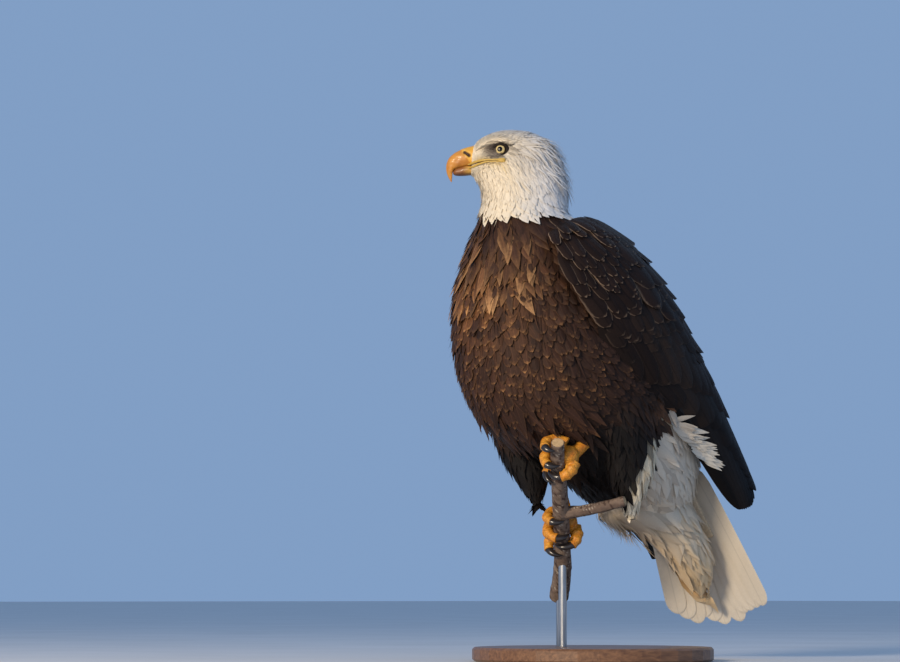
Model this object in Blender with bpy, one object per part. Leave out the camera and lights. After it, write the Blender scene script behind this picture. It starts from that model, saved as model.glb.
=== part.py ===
"""Bald eagle, life size, perched with its feet on a short cut branch that a display stand holds up.

The bird's body faces -X, its left side is -Y and +Z is up. All sizes below are millimetres, and every mesh is
made in metres. Head, neck and trunk are one lofted surface, parted by thin cuts. Wings, tail, thighs, toes and
talons are lofts of their own, each carved by the piece that it lies against, so that no two solids overlap.
"""

import math

import bmesh
import bpy
import numpy as np
from mathutils import Vector

MM = 0.001
GAP = 0.35  # left between two pieces that touch

# Where the model's own origin, the middle of its footprint, lies in the coordinates used below
ORIGIN = (92.25, 0.0, 0.0)

# ---- body: rows of (ventral x, ventral z, dorsal x, dorsal z, half width, turn in degrees) ----
NECK_AXIS_X = -72.0  # the head turns about an upright line here
BODY = [
    (196, 200, 250, 254, 36, 0),  # tail root
    (146, 196, 246, 306, 66, 0),
    (100, 216, 236, 358, 92, 0),
    (46, 250, 220, 408, 112, 0),
    (-16, 290, 202, 456, 126, 0),
    (-80, 312, 180, 502, 133, 0),
    (-128, 346, 150, 544, 134, 0),  # deepest part of the chest
    (-157, 402, 112, 582, 129, 0),
    (-168, 466, 68, 608, 118, 0),
    (-163, 532, 32, 624, 102, 0),
    (-152, 584, 6, 634, 84, -4),
    (-142, 620, -5, 644, 69, -12),  # foot of the neck
    (-135, 651, -4, 663, 61, -22),
    (-134, 668, -6, 685, 57, -30),
    (-138, 680, -12, 706, 53, -36),
    (-142, 686, -20, 730, 49.5, -40),
    (-145, 689.5, -33, 746, 46, -40),
    (-145.5, 691, -51, 757, 43, -40),
    (-146, 692.2, -76, 762, 40.5, -40),
    (-146.2, 693.1, -97, 762, 37.5, -40),
    (-146.4, 694, -115.5, 757.5, 32.5, -40),
    (-146.6, 695, -131.5, 750, 26.5, -40),
    (-147, 697, -143, 740.5, 18.5, -40),  # round the base of the bill
]
HEAD_TURN = -40.0
BODY_ROUNDNESS = 2.25  # superellipse power of every cross section
NECK_ROW, HEAD_ROW = 10.6, 12.4  # rows where the cuts lie
BODY_SIDES = 24

# ---- bill: rows of (top reach, top z, bottom reach, bottom z, half width), reach counted from the neck's axis ----
UPPER_BILL = [
    (71.8, 739.2, 75.2, 711, 15.2),
    (80, 737, 82, 710.2, 14.6),
    (89.5, 733.8, 89, 709, 13.4),
    (98.5, 729, 94.6, 707.2, 11.8),
    (105.6, 722.4, 98.6, 704.8, 9.8),
    (109.4, 713.8, 100.4, 701, 7.6),
    (109.9, 704.8, 101, 697, 5.4),
    (107.8, 696.4, 101.4, 692.2, 3.2),
    (103.2, 687.6, 101.9, 687.2, 0.8),
]
LOWER_BILL = [
    (75.6, 709.6, 76.4, 697.4, 13),
    (83.5, 708.6, 84.5, 697, 11.8),
    (90.5, 707, 91.5, 697.4, 9.4),
    (95, 705, 96, 698.8, 6.4),
    (97.6, 702.6, 98, 701, 2.6),
]

# ---- eyes ----
EYE_REACH, EYE_Z, EYE_SIDE, EYE_RADIUS = 31.2, 729.2, 26.5, 10.0
SOCKET_SIDE, SOCKET_SIZE = 40.0, (12.5, 10.5, 9.0)  # along, across and up

# ---- left wing: rows of (leading edge x, y, z, back edge x, y, z, bulge, depth) ----
WING = [
    (-76, -80, 620, 14, -46, 644, 8, 20),
    (-101, -104, 598, 56, -46, 626, 26, 44),
    (-104, -124, 562, 112, -42, 590, 40, 54),
    (-82, -134, 522, 159, -40, 548, 47, 56),
    (-46, -138, 482, 193, -42, 502, 48, 54),
    (-4, -135, 438, 222, -47, 454, 44, 48),
    (46, -128, 388, 260, -54, 404, 36, 36),
    (114, -118, 350, 284, -64, 353, 25, 20),
    (174, -111, 308, 301, -73, 306, 15, 11),
    (224, -103, 265, 311, -80, 266, 8, 7),
    (260, -96, 230, 312, -86, 237, 4, 5),
    (284, -92, 207, 303, -89, 216, 1, 3),
]
RIGHT_WING_DROP = 80.0  # how far the right wing's tip hangs below the left one's
RIGHT_WING_TUCK = 9.0  # how much closer to the chest its shoulder lies
WING_STEPS, WING_COLUMNS = 14, 5
WINGTIP_ROW = 6.6  # the long outer feathers start here

# ---- tail ----
TAIL_ROOT, TAIL_TIP = (214, 0, 296), (335, 0, 54)
TAIL_HALF_ROOT, TAIL_HALF_TIP = 36.0, 85.0
TAIL_THICK_ROOT, TAIL_THICK_TIP = 16.0, 4.0
TAIL_ROLL = 35.0  # degrees, left side up
TAIL_ARCH = 9.0
TAIL_CORNER = 22.0  # how much shorter the outer feathers are
TAIL_FEATHERS = 12
TAIL_NOTCH = 5.0
UNDERTAIL = [
    (84, 216, 226, 290, 50, 0),
    (96, 196, 236, 256, 55, 0),
    (134, 178, 254, 222, 54, 0),
    (188, 146, 276, 180, 47, 0),
    (240, 110, 298, 138, 34, 0),
    (272, 84, 306, 108, 14, 0),
]

# ---- legs: rows of (x, y, z, radius along, radius across) ----
THIGH_LEFT = [
    (34, -66, 442, 30, 22),
    (30, -78, 405, 58, 42),
    (42, -82, 358, 58, 46),
    (60, -78, 312, 46, 42),
    (72, -70, 266, 36, 32),
    (80, -62, 226, 16, 15),
]
THIGH_RIGHT = [
    (20, 66, 442, 30, 22),
    (10, 78, 405, 60, 42),
    (2, 80, 358, 64, 44),
    (2, 74, 312, 52, 38),
    (4, 66, 272, 34, 28),
    (6, 60, 238, 12, 12),
]
TARSUS_RADIUS = 9.6
ANKLE_LEFT, ANKLE_RIGHT = (18, -70, 338), (30, 60, 296)

# ---- perch ----
GRIP_LEFT, GRIP_RIGHT = (-58, -58, 283), (20, 20, 186)  # on the branch's centre line
PERCH = [
    (76, 88, 92, 14.5),
    (54, 56, 134, 13.6),
    (20, 20, 186, 12.2),
    (-18, -18, 236, 11.4),
    (-58, -58, 283, 10.6),
    (-78, -80, 308, 9.6),
]
STUB = [(0, 0, 212, 9.5), (26, -40, 218, 8.2), (50, -82, 229, 7.4)]
PERCH_SIDES = 12

# ---- feet: (toe, first angle, last angle, offset along the branch, drift along it, radius at its root) ----
TOES = [
    ("hallux", -26, -104, -6, -7, 9.8),
    ("inner_toe", 24, 132, -20, -11, 9.2),
    ("middle_toe", 26, 190, 1, 4, 9.0),
    ("outer_toe", 24, 166, 20, 14, 8.6),
]
TALON_ARC = {"hallux": 96, "inner_toe": 82, "middle_toe": 70, "outer_toe": 66}
TALON_RADIUS = 5.6
PAD_RADIUS = 13.0
FOOT_LEAN_LEFT, FOOT_LEAN_RIGHT = -62.0, -28.0  # how far round the branch the foot sits from its top

# ---- stand ----
BASE_RADIUS, BASE_THICK, BASE_EDGE = 175.0, 20.0, 3.0
BASE_X = 62.0
ROD_RADIUS = 6.0
ROD_LOW, ROD_HIGH = (70, 79), (43, 44)  # where the two rods stand


def curve(rows, t):
    """A smooth curve through the rows (Catmull-Rom); t counts rows from 0."""
    rows = np.asarray(rows, float)
    last = len(rows) - 1
    t = np.clip(np.asarray(t, float), 0, last)
    i = np.minimum(t.astype(int), last - 1)
    f = (t - i)[..., None]
    p = np.vstack([2 * rows[0] - rows[1], rows, 2 * rows[-1] - rows[-2]])
    a, b, c, d = (p[i + k] for k in range(4))
    return b + 0.5 * f * (c - a + f * (2 * a - 5 * b + 4 * c - d + f * (3 * (b - c) + d - a)))


def circle(sides):
    turn = np.arange(sides) * 2 * math.pi / sides
    return np.cos(turn), np.sin(turn)


def rounded(value):
    return np.sign(value) * np.abs(value) ** (2 / BODY_ROUNDNESS)


def turned(points, degrees):
    """Points turned about the neck's upright axis."""
    a = np.radians(degrees)
    x, y = points[..., 0] - NECK_AXIS_X, points[..., 1]
    return np.stack([NECK_AXIS_X + x * np.cos(a) - y * np.sin(a), x * np.sin(a) + y * np.cos(a), points[..., 2]], -1)


def body_rings(rows, at, grow=0.0, sides=BODY_SIDES):
    """Rings of the lofted body at the row numbers given. Each ring spans from its ventral to its dorsal point."""
    row = curve(rows, at)[:, None, :]
    across, along = (rounded(v)[None, :] for v in circle(sides))
    middle_x, middle_z = (row[..., 0] + row[..., 2]) / 2, (row[..., 1] + row[..., 3]) / 2
    half_x, half_z = (row[..., 2] - row[..., 0]) / 2, (row[..., 3] - row[..., 1]) / 2
    stretch = 1 + grow / np.hypot(half_x, half_z)
    points = np.stack(
        [
            middle_x + half_x * stretch * along,
            (row[..., 4] + grow) * across,
            middle_z + half_z * stretch * along,
        ],
        -1,
    )
    return turned(points, row[..., 5])


def bill_rings(rows, steps, sides=12):
    """Rings of a bill half, which run from its root to its tip in the turned head's plane."""
    row = curve(rows, np.linspace(0, len(rows) - 1, steps))[:, None, :]
    across, along = (v[None, :] for v in circle(sides))
    reach = (row[..., 0] + row[..., 2]) / 2 + (row[..., 0] - row[..., 2]) / 2 * along
    height = (row[..., 1] + row[..., 3]) / 2 + (row[..., 1] - row[..., 3]) / 2 * along
    points = np.stack([NECK_AXIS_X - reach, row[..., 4] * across + 0 * reach, height], -1)
    return turned(points, HEAD_TURN)


def tube_rings(path, radius, steps, sides, second=None, side_axis=(0, 1, 0)):
    """Rings round a smooth path of points; second is the radius along side_axis where it differs."""
    t = np.linspace(0, len(path) - 1, steps)
    centre = curve(path, t)
    heading = np.gradient(centre, axis=0)
    heading /= np.linalg.norm(heading, axis=1)[:, None]
    side = np.asarray(side_axis, float) - heading * (heading @ np.asarray(side_axis, float))[:, None]
    side /= np.linalg.norm(side, axis=1)[:, None]
    other = np.cross(heading, side)
    first = curve(np.asarray(radius, float)[:, None], t)
    second = first if second is None else curve(np.asarray(second, float)[:, None], t)
    c, s = circle(sides)
    return (
        centre[:, None, :]
        + side[:, None, :] * (second * c[None, :])[..., None]
        + other[:, None, :] * (first * s[None, :])[..., None]
    )


def solid(name, rings):
    """One closed mesh object from rings of points: triangles between them and a flat cap at each end."""
    count, sides = rings.shape[:2]
    mesh = bpy.data.meshes.new(name)
    points = (rings.reshape(-1, 3) - np.array(ORIGIN)) * MM
    faces = []
    for i in range(count - 1):
        for j in range(sides):
            a, b = i * sides + j, i * sides + (j + 1) % sides
            faces += [(a, b, b + sides), (a, b + sides, a + sides)]
    faces += [tuple(range(sides)), tuple((count - 1) * sides + j for j in range(sides))]
    mesh.from_pydata(points.tolist(), [], faces)
    work = bmesh.new()
    work.from_mesh(mesh)
    bmesh.ops.remove_doubles(work, verts=work.verts, dist=0.02 * MM)
    bmesh.ops.recalc_face_normals(work, faces=work.faces)
    work.to_mesh(mesh)
    work.free()
    made = bpy.data.objects.new(name, mesh)
    bpy.context.scene.collection.objects.link(made)
    return made


def carved(body, *cutters):
    """Body with each cutter's solid taken away, as a finished mesh. Cutters are left as they are."""
    for cutter in cutters:
        cut = body.modifiers.new("carve", "BOOLEAN")
        cut.operation, cut.solver, cut.object = "DIFFERENCE", "EXACT", cutter
        graph = bpy.context.evaluated_depsgraph_get()
        graph.update()
        mesh = bpy.data.meshes.new_from_object(body.evaluated_get(graph))
        body.modifiers.clear()
        body.data = mesh
        keep_largest(body)
    return body


def keep_largest(body):
    """Deletes all but the body's largest connected piece, as crumbs can be left where a cutter grazes it."""
    work = bmesh.new()
    work.from_mesh(body.data)
    left, pieces = set(work.verts), []
    while left:
        todo, piece = [left.pop()], []
        while todo:
            vert = todo.pop()
            piece.append(vert)
            for edge in vert.link_edges:
                other = edge.other_vert(vert)
                if other in left:
                    left.remove(other)
                    todo.append(other)
        pieces.append(piece)
    pieces.sort(key=len, reverse=True)
    for piece in pieces[1:]:
        bmesh.ops.delete(work, geom=piece, context="VERTS")
    work.to_mesh(body.data)
    work.free()


def head_point(reach, side, z):
    """A point of the turned head. Side is positive towards the bird's left."""
    return turned(np.array([NECK_AXIS_X - reach, -side, z], float), HEAD_TURN)


def ball(name, centre, sizes, turn=0.0, rings=7, sides=10):
    """An ellipsoid with its poles up and down, turned about the vertical."""
    polar = np.linspace(0.02, math.pi - 0.02, rings)[:, None]
    c, s = (v[None, :] for v in circle(sides))
    x, y, z = sizes[0] * np.sin(polar) * c, sizes[1] * np.sin(polar) * s, sizes[2] * np.cos(polar) + 0 * c
    a = math.radians(turn)
    points = np.stack([x * math.cos(a) - y * math.sin(a), x * math.sin(a) + y * math.cos(a), z], -1)
    return solid(name, points + np.asarray(centre, float))


def make_body():
    """Trunk, neck and head, parted by two thin cuts, and a swollen copy of the trunk that carves its neighbours."""
    cut = GAP / 30  # in rows, as rows lie 15 mm or more apart at both cuts
    at_trunk = np.linspace(0, NECK_ROW - cut, 16)
    at_neck = np.linspace(NECK_ROW + cut, HEAD_ROW - cut, 5)
    trunk = solid("trunk", body_rings(BODY, at_trunk))
    neck = solid("neck", body_rings(BODY, at_neck))
    head = solid("head", body_rings(BODY, np.linspace(HEAD_ROW + cut, len(BODY) - 1, 12)))
    swollen = solid("trunk_cutter", body_rings(BODY, np.concatenate([at_trunk, at_neck]), grow=GAP * 1.5))
    return trunk, neck, head, swollen


def make_eye(head, label, side):
    """An eyeball in a carved socket. Side is 1 for the bird's left and -1 for its right."""
    centre = head_point(EYE_REACH, side * EYE_SIDE, EYE_Z)
    socket = ball("socket_cutter", head_point(EYE_REACH, side * SOCKET_SIDE, EYE_Z), SOCKET_SIZE, HEAD_TURN)
    bed = ball("bed_cutter", centre, (EYE_RADIUS + GAP,) * 3)
    carved(head, socket, bed)
    for cutter in (socket, bed):
        bpy.data.objects.remove(cutter)
    return ball("eye_" + label, centre, (EYE_RADIUS,) * 3)


def make_bill():
    upper = solid("bill_upper", bill_rings(UPPER_BILL, 11))
    lower = solid("bill_lower", bill_rings(LOWER_BILL, 6))
    return upper, lower


def wing_rings(side, first, last, steps, grow=0.0):
    """Rings of a folded wing: an outer sheet that bulges away from the body and an inner one at its depth."""
    row = curve(WING, np.linspace(first, last, steps))
    lead, back = row[:, None, 0:3], row[:, None, 3:6]
    bulge, depth = row[:, 6][:, None, None], row[:, 7][:, None, None]
    chord = back - lead
    length = np.linalg.norm(chord, axis=2, keepdims=True)
    axis = np.gradient((lead + back)[:, 0, :], axis=0)[:, None, :]
    outward = np.cross(chord, axis)
    outward /= np.linalg.norm(outward, axis=2, keepdims=True)
    outward *= np.sign(-outward[..., 1:2])
    q = np.linspace(0, 1, WING_COLUMNS + 1)[None, :, None]
    arch = 4 * q * (1 - q)
    outer = lead + chord * q + outward * (bulge * arch + grow)
    inner = lead + chord * q + outward * (bulge * arch - depth * (0.35 + 0.65 * arch) - grow)
    outer = outer + chord / length * (2 * q - 1) * grow
    inner = inner + chord / length * (2 * q - 1) * grow
    rings = np.concatenate([outer, inner[:, ::-1]], 1)
    if side > 0:
        share = np.linspace(first, last, steps) / (len(WING) - 1)
        rings[..., 2] -= (RIGHT_WING_DROP * share**2)[:, None]
        rings[..., 1] += (RIGHT_WING_TUCK * (1 - share))[:, None]
    return rings * np.array([1, -side, 1])


def make_wing(label, side, trunk_cutter):
    """A wing and its outer feathers. Side is -1 for the left wing, as the table holds it, and 1 for the right."""
    cut = GAP / 50
    wing = solid("wing_" + label, wing_rings(side, 0, WINGTIP_ROW - cut, WING_STEPS - 6))
    tip = solid("wingtip_" + label, wing_rings(side, WINGTIP_ROW + cut, len(WING) - 1, 9))
    cutter = solid("wing_cutter_" + label, wing_rings(side, 0, len(WING) - 1, WING_STEPS, grow=GAP))
    carved(wing, trunk_cutter)
    carved(tip, trunk_cutter)
    return wing, tip, cutter


def tail_rings(grow=0.0):
    """The tail's fan as rings from root to tip: a rolled, arched plate whose end follows the feathers' tips."""
    root, tip = np.array(TAIL_ROOT, float), np.array(TAIL_TIP, float)
    down = (tip - root) / np.linalg.norm(tip - root)
    level = np.array([0.0, -1.0, 0.0])
    a = math.radians(TAIL_ROLL)
    side = level * math.cos(a) + np.array([0, 0, 1.0]) * math.sin(a)
    side -= down * (side @ down)
    side /= np.linalg.norm(side)
    normal = np.cross(side, down)
    normal *= np.sign(normal[0])
    columns = 2 * TAIL_FEATHERS + 1
    q = np.linspace(-1, 1, columns)
    share = np.linspace(0, 1, 5)[:, None]
    notch = TAIL_NOTCH * (np.abs(np.sin(q * TAIL_FEATHERS * math.pi / 2)) - 1)
    length = np.linalg.norm(tip - root) - TAIL_CORNER * q**2 + notch * share
    half = TAIL_HALF_ROOT + (TAIL_HALF_TIP - TAIL_HALF_ROOT) * share**0.8 + grow
    thick = TAIL_THICK_ROOT + (TAIL_THICK_TIP - TAIL_THICK_ROOT) * share**0.6 + 2 * grow
    middle = (
        root
        + down * (length * share)[..., None]
        + side * (half * q)[..., None]
        + normal * (TAIL_ARCH * share * (1 - q**2))[..., None]
    )
    taper = (thick * (1 - 0.6 * q**4))[..., None] / 2
    return np.concatenate([middle + normal * taper, (middle - normal * taper)[:, ::-1]], 1)


def make_tail(trunk_cutter, wing_cutters):
    """The tail fan and the soft wedge of feathers below its root."""
    tail = solid("tail", tail_rings())
    carved(tail, trunk_cutter, *wing_cutters)
    tail_cutter = solid("tail_cutter", tail_rings(GAP))
    undertail = solid("undertail", body_rings(UNDERTAIL, np.linspace(0, len(UNDERTAIL) - 1, 6), sides=12))
    carved(undertail, trunk_cutter, tail_cutter, *wing_cutters)
    return tail, undertail, tail_cutter


def leg_solid(name, rows, grow=0.0):
    rows = np.array(rows, float)
    return solid(
        name,
        tube_rings(rows[:, :3], rows[:, 3] + grow, 8, 14, second=rows[:, 4] + grow),
    )


def branch_solid(name, rows, steps, grow=0.0):
    """A cut length of branch."""
    rows = np.array(rows, float)
    return solid(name, tube_rings(rows[:, :3], rows[:, 3] + grow, steps, PERCH_SIDES))


def branch_frame(grip):
    """Axis of the branch at a grip, its upward side, and its side towards the toes."""
    rows = np.array(PERCH, float)[:, :3]
    near = int(np.argmin(np.linalg.norm(rows - np.array(grip, float), axis=1)))
    axis = rows[near + 1] - rows[near - 1]
    axis /= np.linalg.norm(axis)
    top = np.array([0, 0, 1.0]) - axis * axis[2]
    top /= np.linalg.norm(top)
    return axis, top, np.cross(axis, top), float(np.array(PERCH)[near, 3])


def toe_path(grip, lean, first, last, offset, drift, lift_first, lift_last, steps):
    """Points round the branch from angle first to angle last, which drift along it as they go."""
    axis, top, front, wood = branch_frame(grip)
    share = np.linspace(0, 1, steps)[:, None]
    angle = np.radians(lean + first + (last - first) * share)
    lift = wood + lift_first + (lift_last - lift_first) * share
    return (
        np.array(grip, float)
        + axis * (offset + drift * share)
        + (top * np.cos(angle) + front * np.sin(angle)) * lift
    )


def make_foot(label, grip, lean, ankle, near, perch_cutter):
    """Foot pad, shank, four toes with knuckles and four talons round the branch."""
    axis, top, front, wood = branch_frame(grip)
    a = math.radians(lean)
    up = top * math.cos(a) + front * math.sin(a)
    seat = np.array(grip, float) + up * (wood + PAD_RADIUS * 0.62)
    pad_path = [seat - axis * 16, seat, seat + axis * 16]
    pad = solid("foot_" + label, tube_rings(pad_path, [7, PAD_RADIUS, 7], 7, 12))
    carved(pad, perch_cutter, *near)
    pad_cutter = solid("pad_cutter", tube_rings(pad_path, [7 + GAP, PAD_RADIUS + GAP, 7 + GAP], 7, 12))
    shank_path = [seat + up * 2, seat * 0.5 + np.array(ankle) * 0.5 + up * 3, np.array(ankle, float)]
    shank = solid(
        "shank_" + label,
        tube_rings(shank_path, [TARSUS_RADIUS, TARSUS_RADIUS - 1, TARSUS_RADIUS + 1], 6, 12),
    )
    carved(shank, pad_cutter, perch_cutter, *near)
    shank_cutter = solid(
        "shank_cutter",
        tube_rings(shank_path, np.array([TARSUS_RADIUS, TARSUS_RADIUS - 1, TARSUS_RADIUS + 1]) + GAP, 6, 12),
    )
    made = []
    for toe, first, last, offset, drift, radius in TOES:
        turn = math.copysign(TALON_ARC[toe], last - first)
        path = toe_path(grip, lean, first, last, offset, drift, radius + 1.2, radius * 0.78, 10)
        knuckle = 1 + 0.09 * np.cos(np.linspace(0, 3 * 2 * math.pi, 10))
        radii = np.linspace(radius, radius * 0.72, 10) * knuckle
        digit = solid(f"{toe}_{label}", tube_rings(path, radii, 10, 8, side_axis=axis))
        carved(digit, pad_cutter, shank_cutter, perch_cutter, *near)
        slack = turn / TALON_ARC[toe] * 1.6
        claw_path = toe_path(
            grip, lean, last + slack, last + turn, offset + drift, drift * 0.15, radius * 0.8, 2.4, 6
        )
        claw_radii = TALON_RADIUS * (1 - np.linspace(0, 1, 6) ** 1.4) + 0.6
        claw = solid(f"talon_{toe}_{label}", tube_rings(claw_path, claw_radii, 6, 6, side_axis=axis))
        digit_cutter = solid("digit_cutter", tube_rings(path, radii + GAP, 10, 8, side_axis=axis))
        carved(claw, digit_cutter, perch_cutter, *near)
        bpy.data.objects.remove(digit_cutter)
        made += [digit, claw]
    for cutter in (pad_cutter, shank_cutter):
        bpy.data.objects.remove(cutter)
    return [pad, shank, *made]


def make_stand(perch_cutter):
    """A round base and two rods, whose tops are cut to the branch."""
    radii = [BASE_RADIUS - BASE_EDGE, BASE_RADIUS, BASE_RADIUS, BASE_RADIUS - BASE_EDGE]
    heights = [0, BASE_EDGE, BASE_THICK - BASE_EDGE, BASE_THICK]
    c, s = circle(36)
    rings = np.stack([np.stack([BASE_X + r * c, r * s, z + 0 * c], -1) for r, z in zip(radii, heights)])
    base = solid("stand_base", rings)
    rods = []
    for label, (x, y) in (("low", ROD_LOW), ("high", ROD_HIGH)):
        c, s = circle(14)
        ends = (BASE_THICK + GAP, 112.0 if label == "low" else 158.0)
        rings = np.stack([np.stack([x + ROD_RADIUS * c, y + ROD_RADIUS * s, z + 0 * c], -1) for z in ends])
        rods.append(carved(solid("stand_rod_" + label, rings), perch_cutter))
    return [base, *rods]


def material(name, colour, roughness):
    made = bpy.data.materials.new(name)
    made.use_nodes = True
    surface = made.node_tree.nodes["Principled BSDF"]
    surface.inputs["Base Color"].default_value = (*colour, 1)
    surface.inputs["Roughness"].default_value = roughness
    made.diffuse_color = (*colour, 1)
    return made


def finish_all():
    """Smooth shading and one material for each kind of piece, found by the start of its name."""
    kinds = [
        ("head", material("white_feather", (0.80, 0.77, 0.70), 0.8)),
        ("neck", material("neck_feather", (0.78, 0.74, 0.66), 0.8)),
        ("tail", material("tail_feather", (0.74, 0.68, 0.56), 0.7)),
        ("undertail", material("undertail_feather", (0.66, 0.60, 0.50), 0.8)),
        ("wing", material("wing_feather", (0.020, 0.014, 0.012), 0.6)),
        ("trunk", material("brown_feather", (0.055, 0.030, 0.018), 0.7)),
        ("thigh", material("thigh_feather", (0.022, 0.015, 0.012), 0.75)),
        ("bill", material("bill_horn", (0.85, 0.42, 0.05), 0.35)),
        ("eye", material("eye_glass", (0.70, 0.60, 0.25), 0.08)),
        ("talon", material("talon_horn", (0.015, 0.014, 0.014), 0.25)),
        ("perch", material("bark", (0.16, 0.10, 0.07), 0.85)),
        ("stand_base", material("stand_wood", (0.10, 0.055, 0.03), 0.4)),
        ("stand_rod", material("stand_steel", (0.10, 0.10, 0.10), 0.35)),
    ]
    foot_skin = material("foot_skin", (0.85, 0.45, 0.05), 0.5)
    for made in bpy.context.scene.objects:
        made.data.materials.clear()
        made.data.materials.append(next((m for start, m in kinds if made.name.startswith(start)), foot_skin))
        made.data.shade_smooth()
        made.data.set_sharp_from_angle(angle=math.radians(40))


def main():
    for old in list(bpy.data.objects):
        bpy.data.objects.remove(old)
    trunk, neck, head, trunk_cutter = make_body()
    make_bill()
    for label, side in (("left", 1), ("right", -1)):
        make_eye(head, label, side)
    wing_cutters = [make_wing(label, side, trunk_cutter)[2] for label, side in (("left", -1), ("right", 1))]
    tail, undertail, tail_cutter = make_tail(trunk_cutter, wing_cutters)
    perch_cutter = branch_solid("perch_cutter", PERCH, 11, GAP)
    stub_cutter = branch_solid("stub_cutter", STUB, 6, GAP)
    carved(branch_solid("perch", PERCH, 11), trunk_cutter)
    carved(branch_solid("perch_stub", STUB, 6), perch_cutter)
    thigh_cutters = []
    for label, rows in (("left", THIGH_LEFT), ("right", THIGH_RIGHT)):
        carved(leg_solid("thigh_" + label, rows), trunk_cutter, perch_cutter, stub_cutter, *wing_cutters)
        thigh_cutters.append(leg_solid("thigh_cutter_" + label, rows, GAP))
    near = (trunk_cutter, stub_cutter, *thigh_cutters)
    make_foot("left", GRIP_LEFT, FOOT_LEAN_LEFT, ANKLE_LEFT, near, perch_cutter)
    make_foot("right", GRIP_RIGHT, FOOT_LEAN_RIGHT, ANKLE_RIGHT, near, perch_cutter)
    make_stand(perch_cutter)
    for cutter in (tail_cutter, perch_cutter, *wing_cutters, *near):
        bpy.data.objects.remove(cutter)
    finish_all()


main()
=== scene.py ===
"""Bald eagle, life size, gripping a short cut branch on a display stand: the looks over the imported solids.

Lengths in the tables and functions are millimetres. The part's own origin lies at ORIGIN among them, and every mesh
is made in metres from there. The bird faces -X, and its left side is towards -Y. The skin is the body's own loft,
wings, thighs and tail, drawn in by the depth of the coat. Feathers are thin closed vanes whose midlines walk over
that skin along the lie of the coat.
"""

import math

import bpy
import numpy as np
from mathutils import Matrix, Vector


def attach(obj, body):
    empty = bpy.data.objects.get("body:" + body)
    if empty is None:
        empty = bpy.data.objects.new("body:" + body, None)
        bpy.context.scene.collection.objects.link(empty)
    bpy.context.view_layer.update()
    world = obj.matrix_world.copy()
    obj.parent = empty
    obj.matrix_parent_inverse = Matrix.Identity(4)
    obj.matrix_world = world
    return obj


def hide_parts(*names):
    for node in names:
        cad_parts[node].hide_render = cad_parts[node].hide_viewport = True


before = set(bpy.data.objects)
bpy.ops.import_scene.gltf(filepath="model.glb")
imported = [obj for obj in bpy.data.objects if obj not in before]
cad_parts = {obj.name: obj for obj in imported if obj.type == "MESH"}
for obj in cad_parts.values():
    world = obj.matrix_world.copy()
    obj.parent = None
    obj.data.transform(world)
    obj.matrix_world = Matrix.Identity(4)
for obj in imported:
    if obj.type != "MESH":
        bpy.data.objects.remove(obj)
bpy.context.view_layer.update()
rng = np.random.default_rng(20)

MM = 0.001
ORIGIN = np.array([92.25, 0.0, 0.0])

# ---- body: rows of (ventral x, ventral z, dorsal x, dorsal z, half width, turn in degrees) ----
NECK_AXIS_X = -72.0
HEAD_TURN = -40.0
BODY_ROUNDNESS = 2.25
BODY = [
    (196, 200, 250, 254, 36, 0),  # tail root
    (146, 196, 246, 306, 66, 0),
    (100, 216, 236, 358, 92, 0),
    (46, 250, 220, 408, 112, 0),
    (-16, 290, 202, 456, 126, 0),
    (-80, 312, 180, 502, 133, 0),
    (-128, 346, 150, 544, 134, 0),  # deepest part of the chest
    (-157, 402, 112, 582, 129, 0),
    (-168, 466, 68, 608, 118, 0),
    (-163, 532, 32, 624, 102, 0),
    (-152, 584, 6, 634, 84, -4),
    (-142, 620, -5, 644, 69, -12),  # foot of the neck
    (-135, 651, -4, 663, 61, -22),
    (-134, 668, -6, 685, 57, -30),
    (-138, 680, -12, 706, 53, -36),
    (-142, 686, -20, 730, 49.5, -40),
    (-145, 689.5, -33, 746, 46, -40),
    (-145.5, 691, -51, 757, 43, -40),
    (-146, 692.2, -76, 762, 40.5, -40),
    (-146.2, 693.1, -97, 762, 37.5, -40),
    (-146.4, 694, -115.5, 757.5, 32.5, -40),
    (-146.6, 695, -131.5, 750, 26.5, -40),
    (-147, 697, -143, 740.5, 18.5, -40),  # round the base of the bill
]
UNDERTAIL = [
    (84, 216, 226, 290, 50, 0),
    (96, 196, 236, 256, 55, 0),
    (134, 178, 254, 222, 54, 0),
    (188, 146, 276, 180, 47, 0),
    (240, 110, 298, 138, 34, 0),
    (272, 84, 306, 108, 14, 0),
]
# ---- left wing: rows of (leading edge x, y, z, back edge x, y, z, bulge, depth) ----
WING = [
    (-76, -80, 620, 14, -46, 644, 8, 20),
    (-101, -104, 598, 56, -46, 626, 26, 44),
    (-104, -124, 562, 112, -42, 590, 40, 54),
    (-82, -134, 522, 159, -40, 548, 47, 56),
    (-46, -138, 482, 193, -42, 502, 48, 54),
    (-4, -135, 438, 222, -47, 454, 44, 48),
    (46, -128, 388, 260, -54, 404, 36, 36),
    (114, -118, 350, 284, -64, 353, 25, 20),
    (174, -111, 308, 301, -73, 306, 15, 11),
    (224, -103, 265, 311, -80, 266, 8, 7),
    (260, -96, 230, 312, -86, 237, 4, 5),
    (284, -92, 207, 303, -89, 216, 1, 3),
]
RIGHT_WING_DROP, RIGHT_WING_TUCK = 80.0, 9.0
# ---- tail: places, half widths, and roll in degrees, arch and cut-back corner ----
TAIL_ROOT, TAIL_TIP = (214, 0, 296), (335, 0, 54)
TAIL_HALF_ROOT, TAIL_HALF_TIP = 36.0, 85.0
TAIL_ROLL, TAIL_ARCH, TAIL_CORNER = 35.0, 9.0, 22.0
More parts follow.
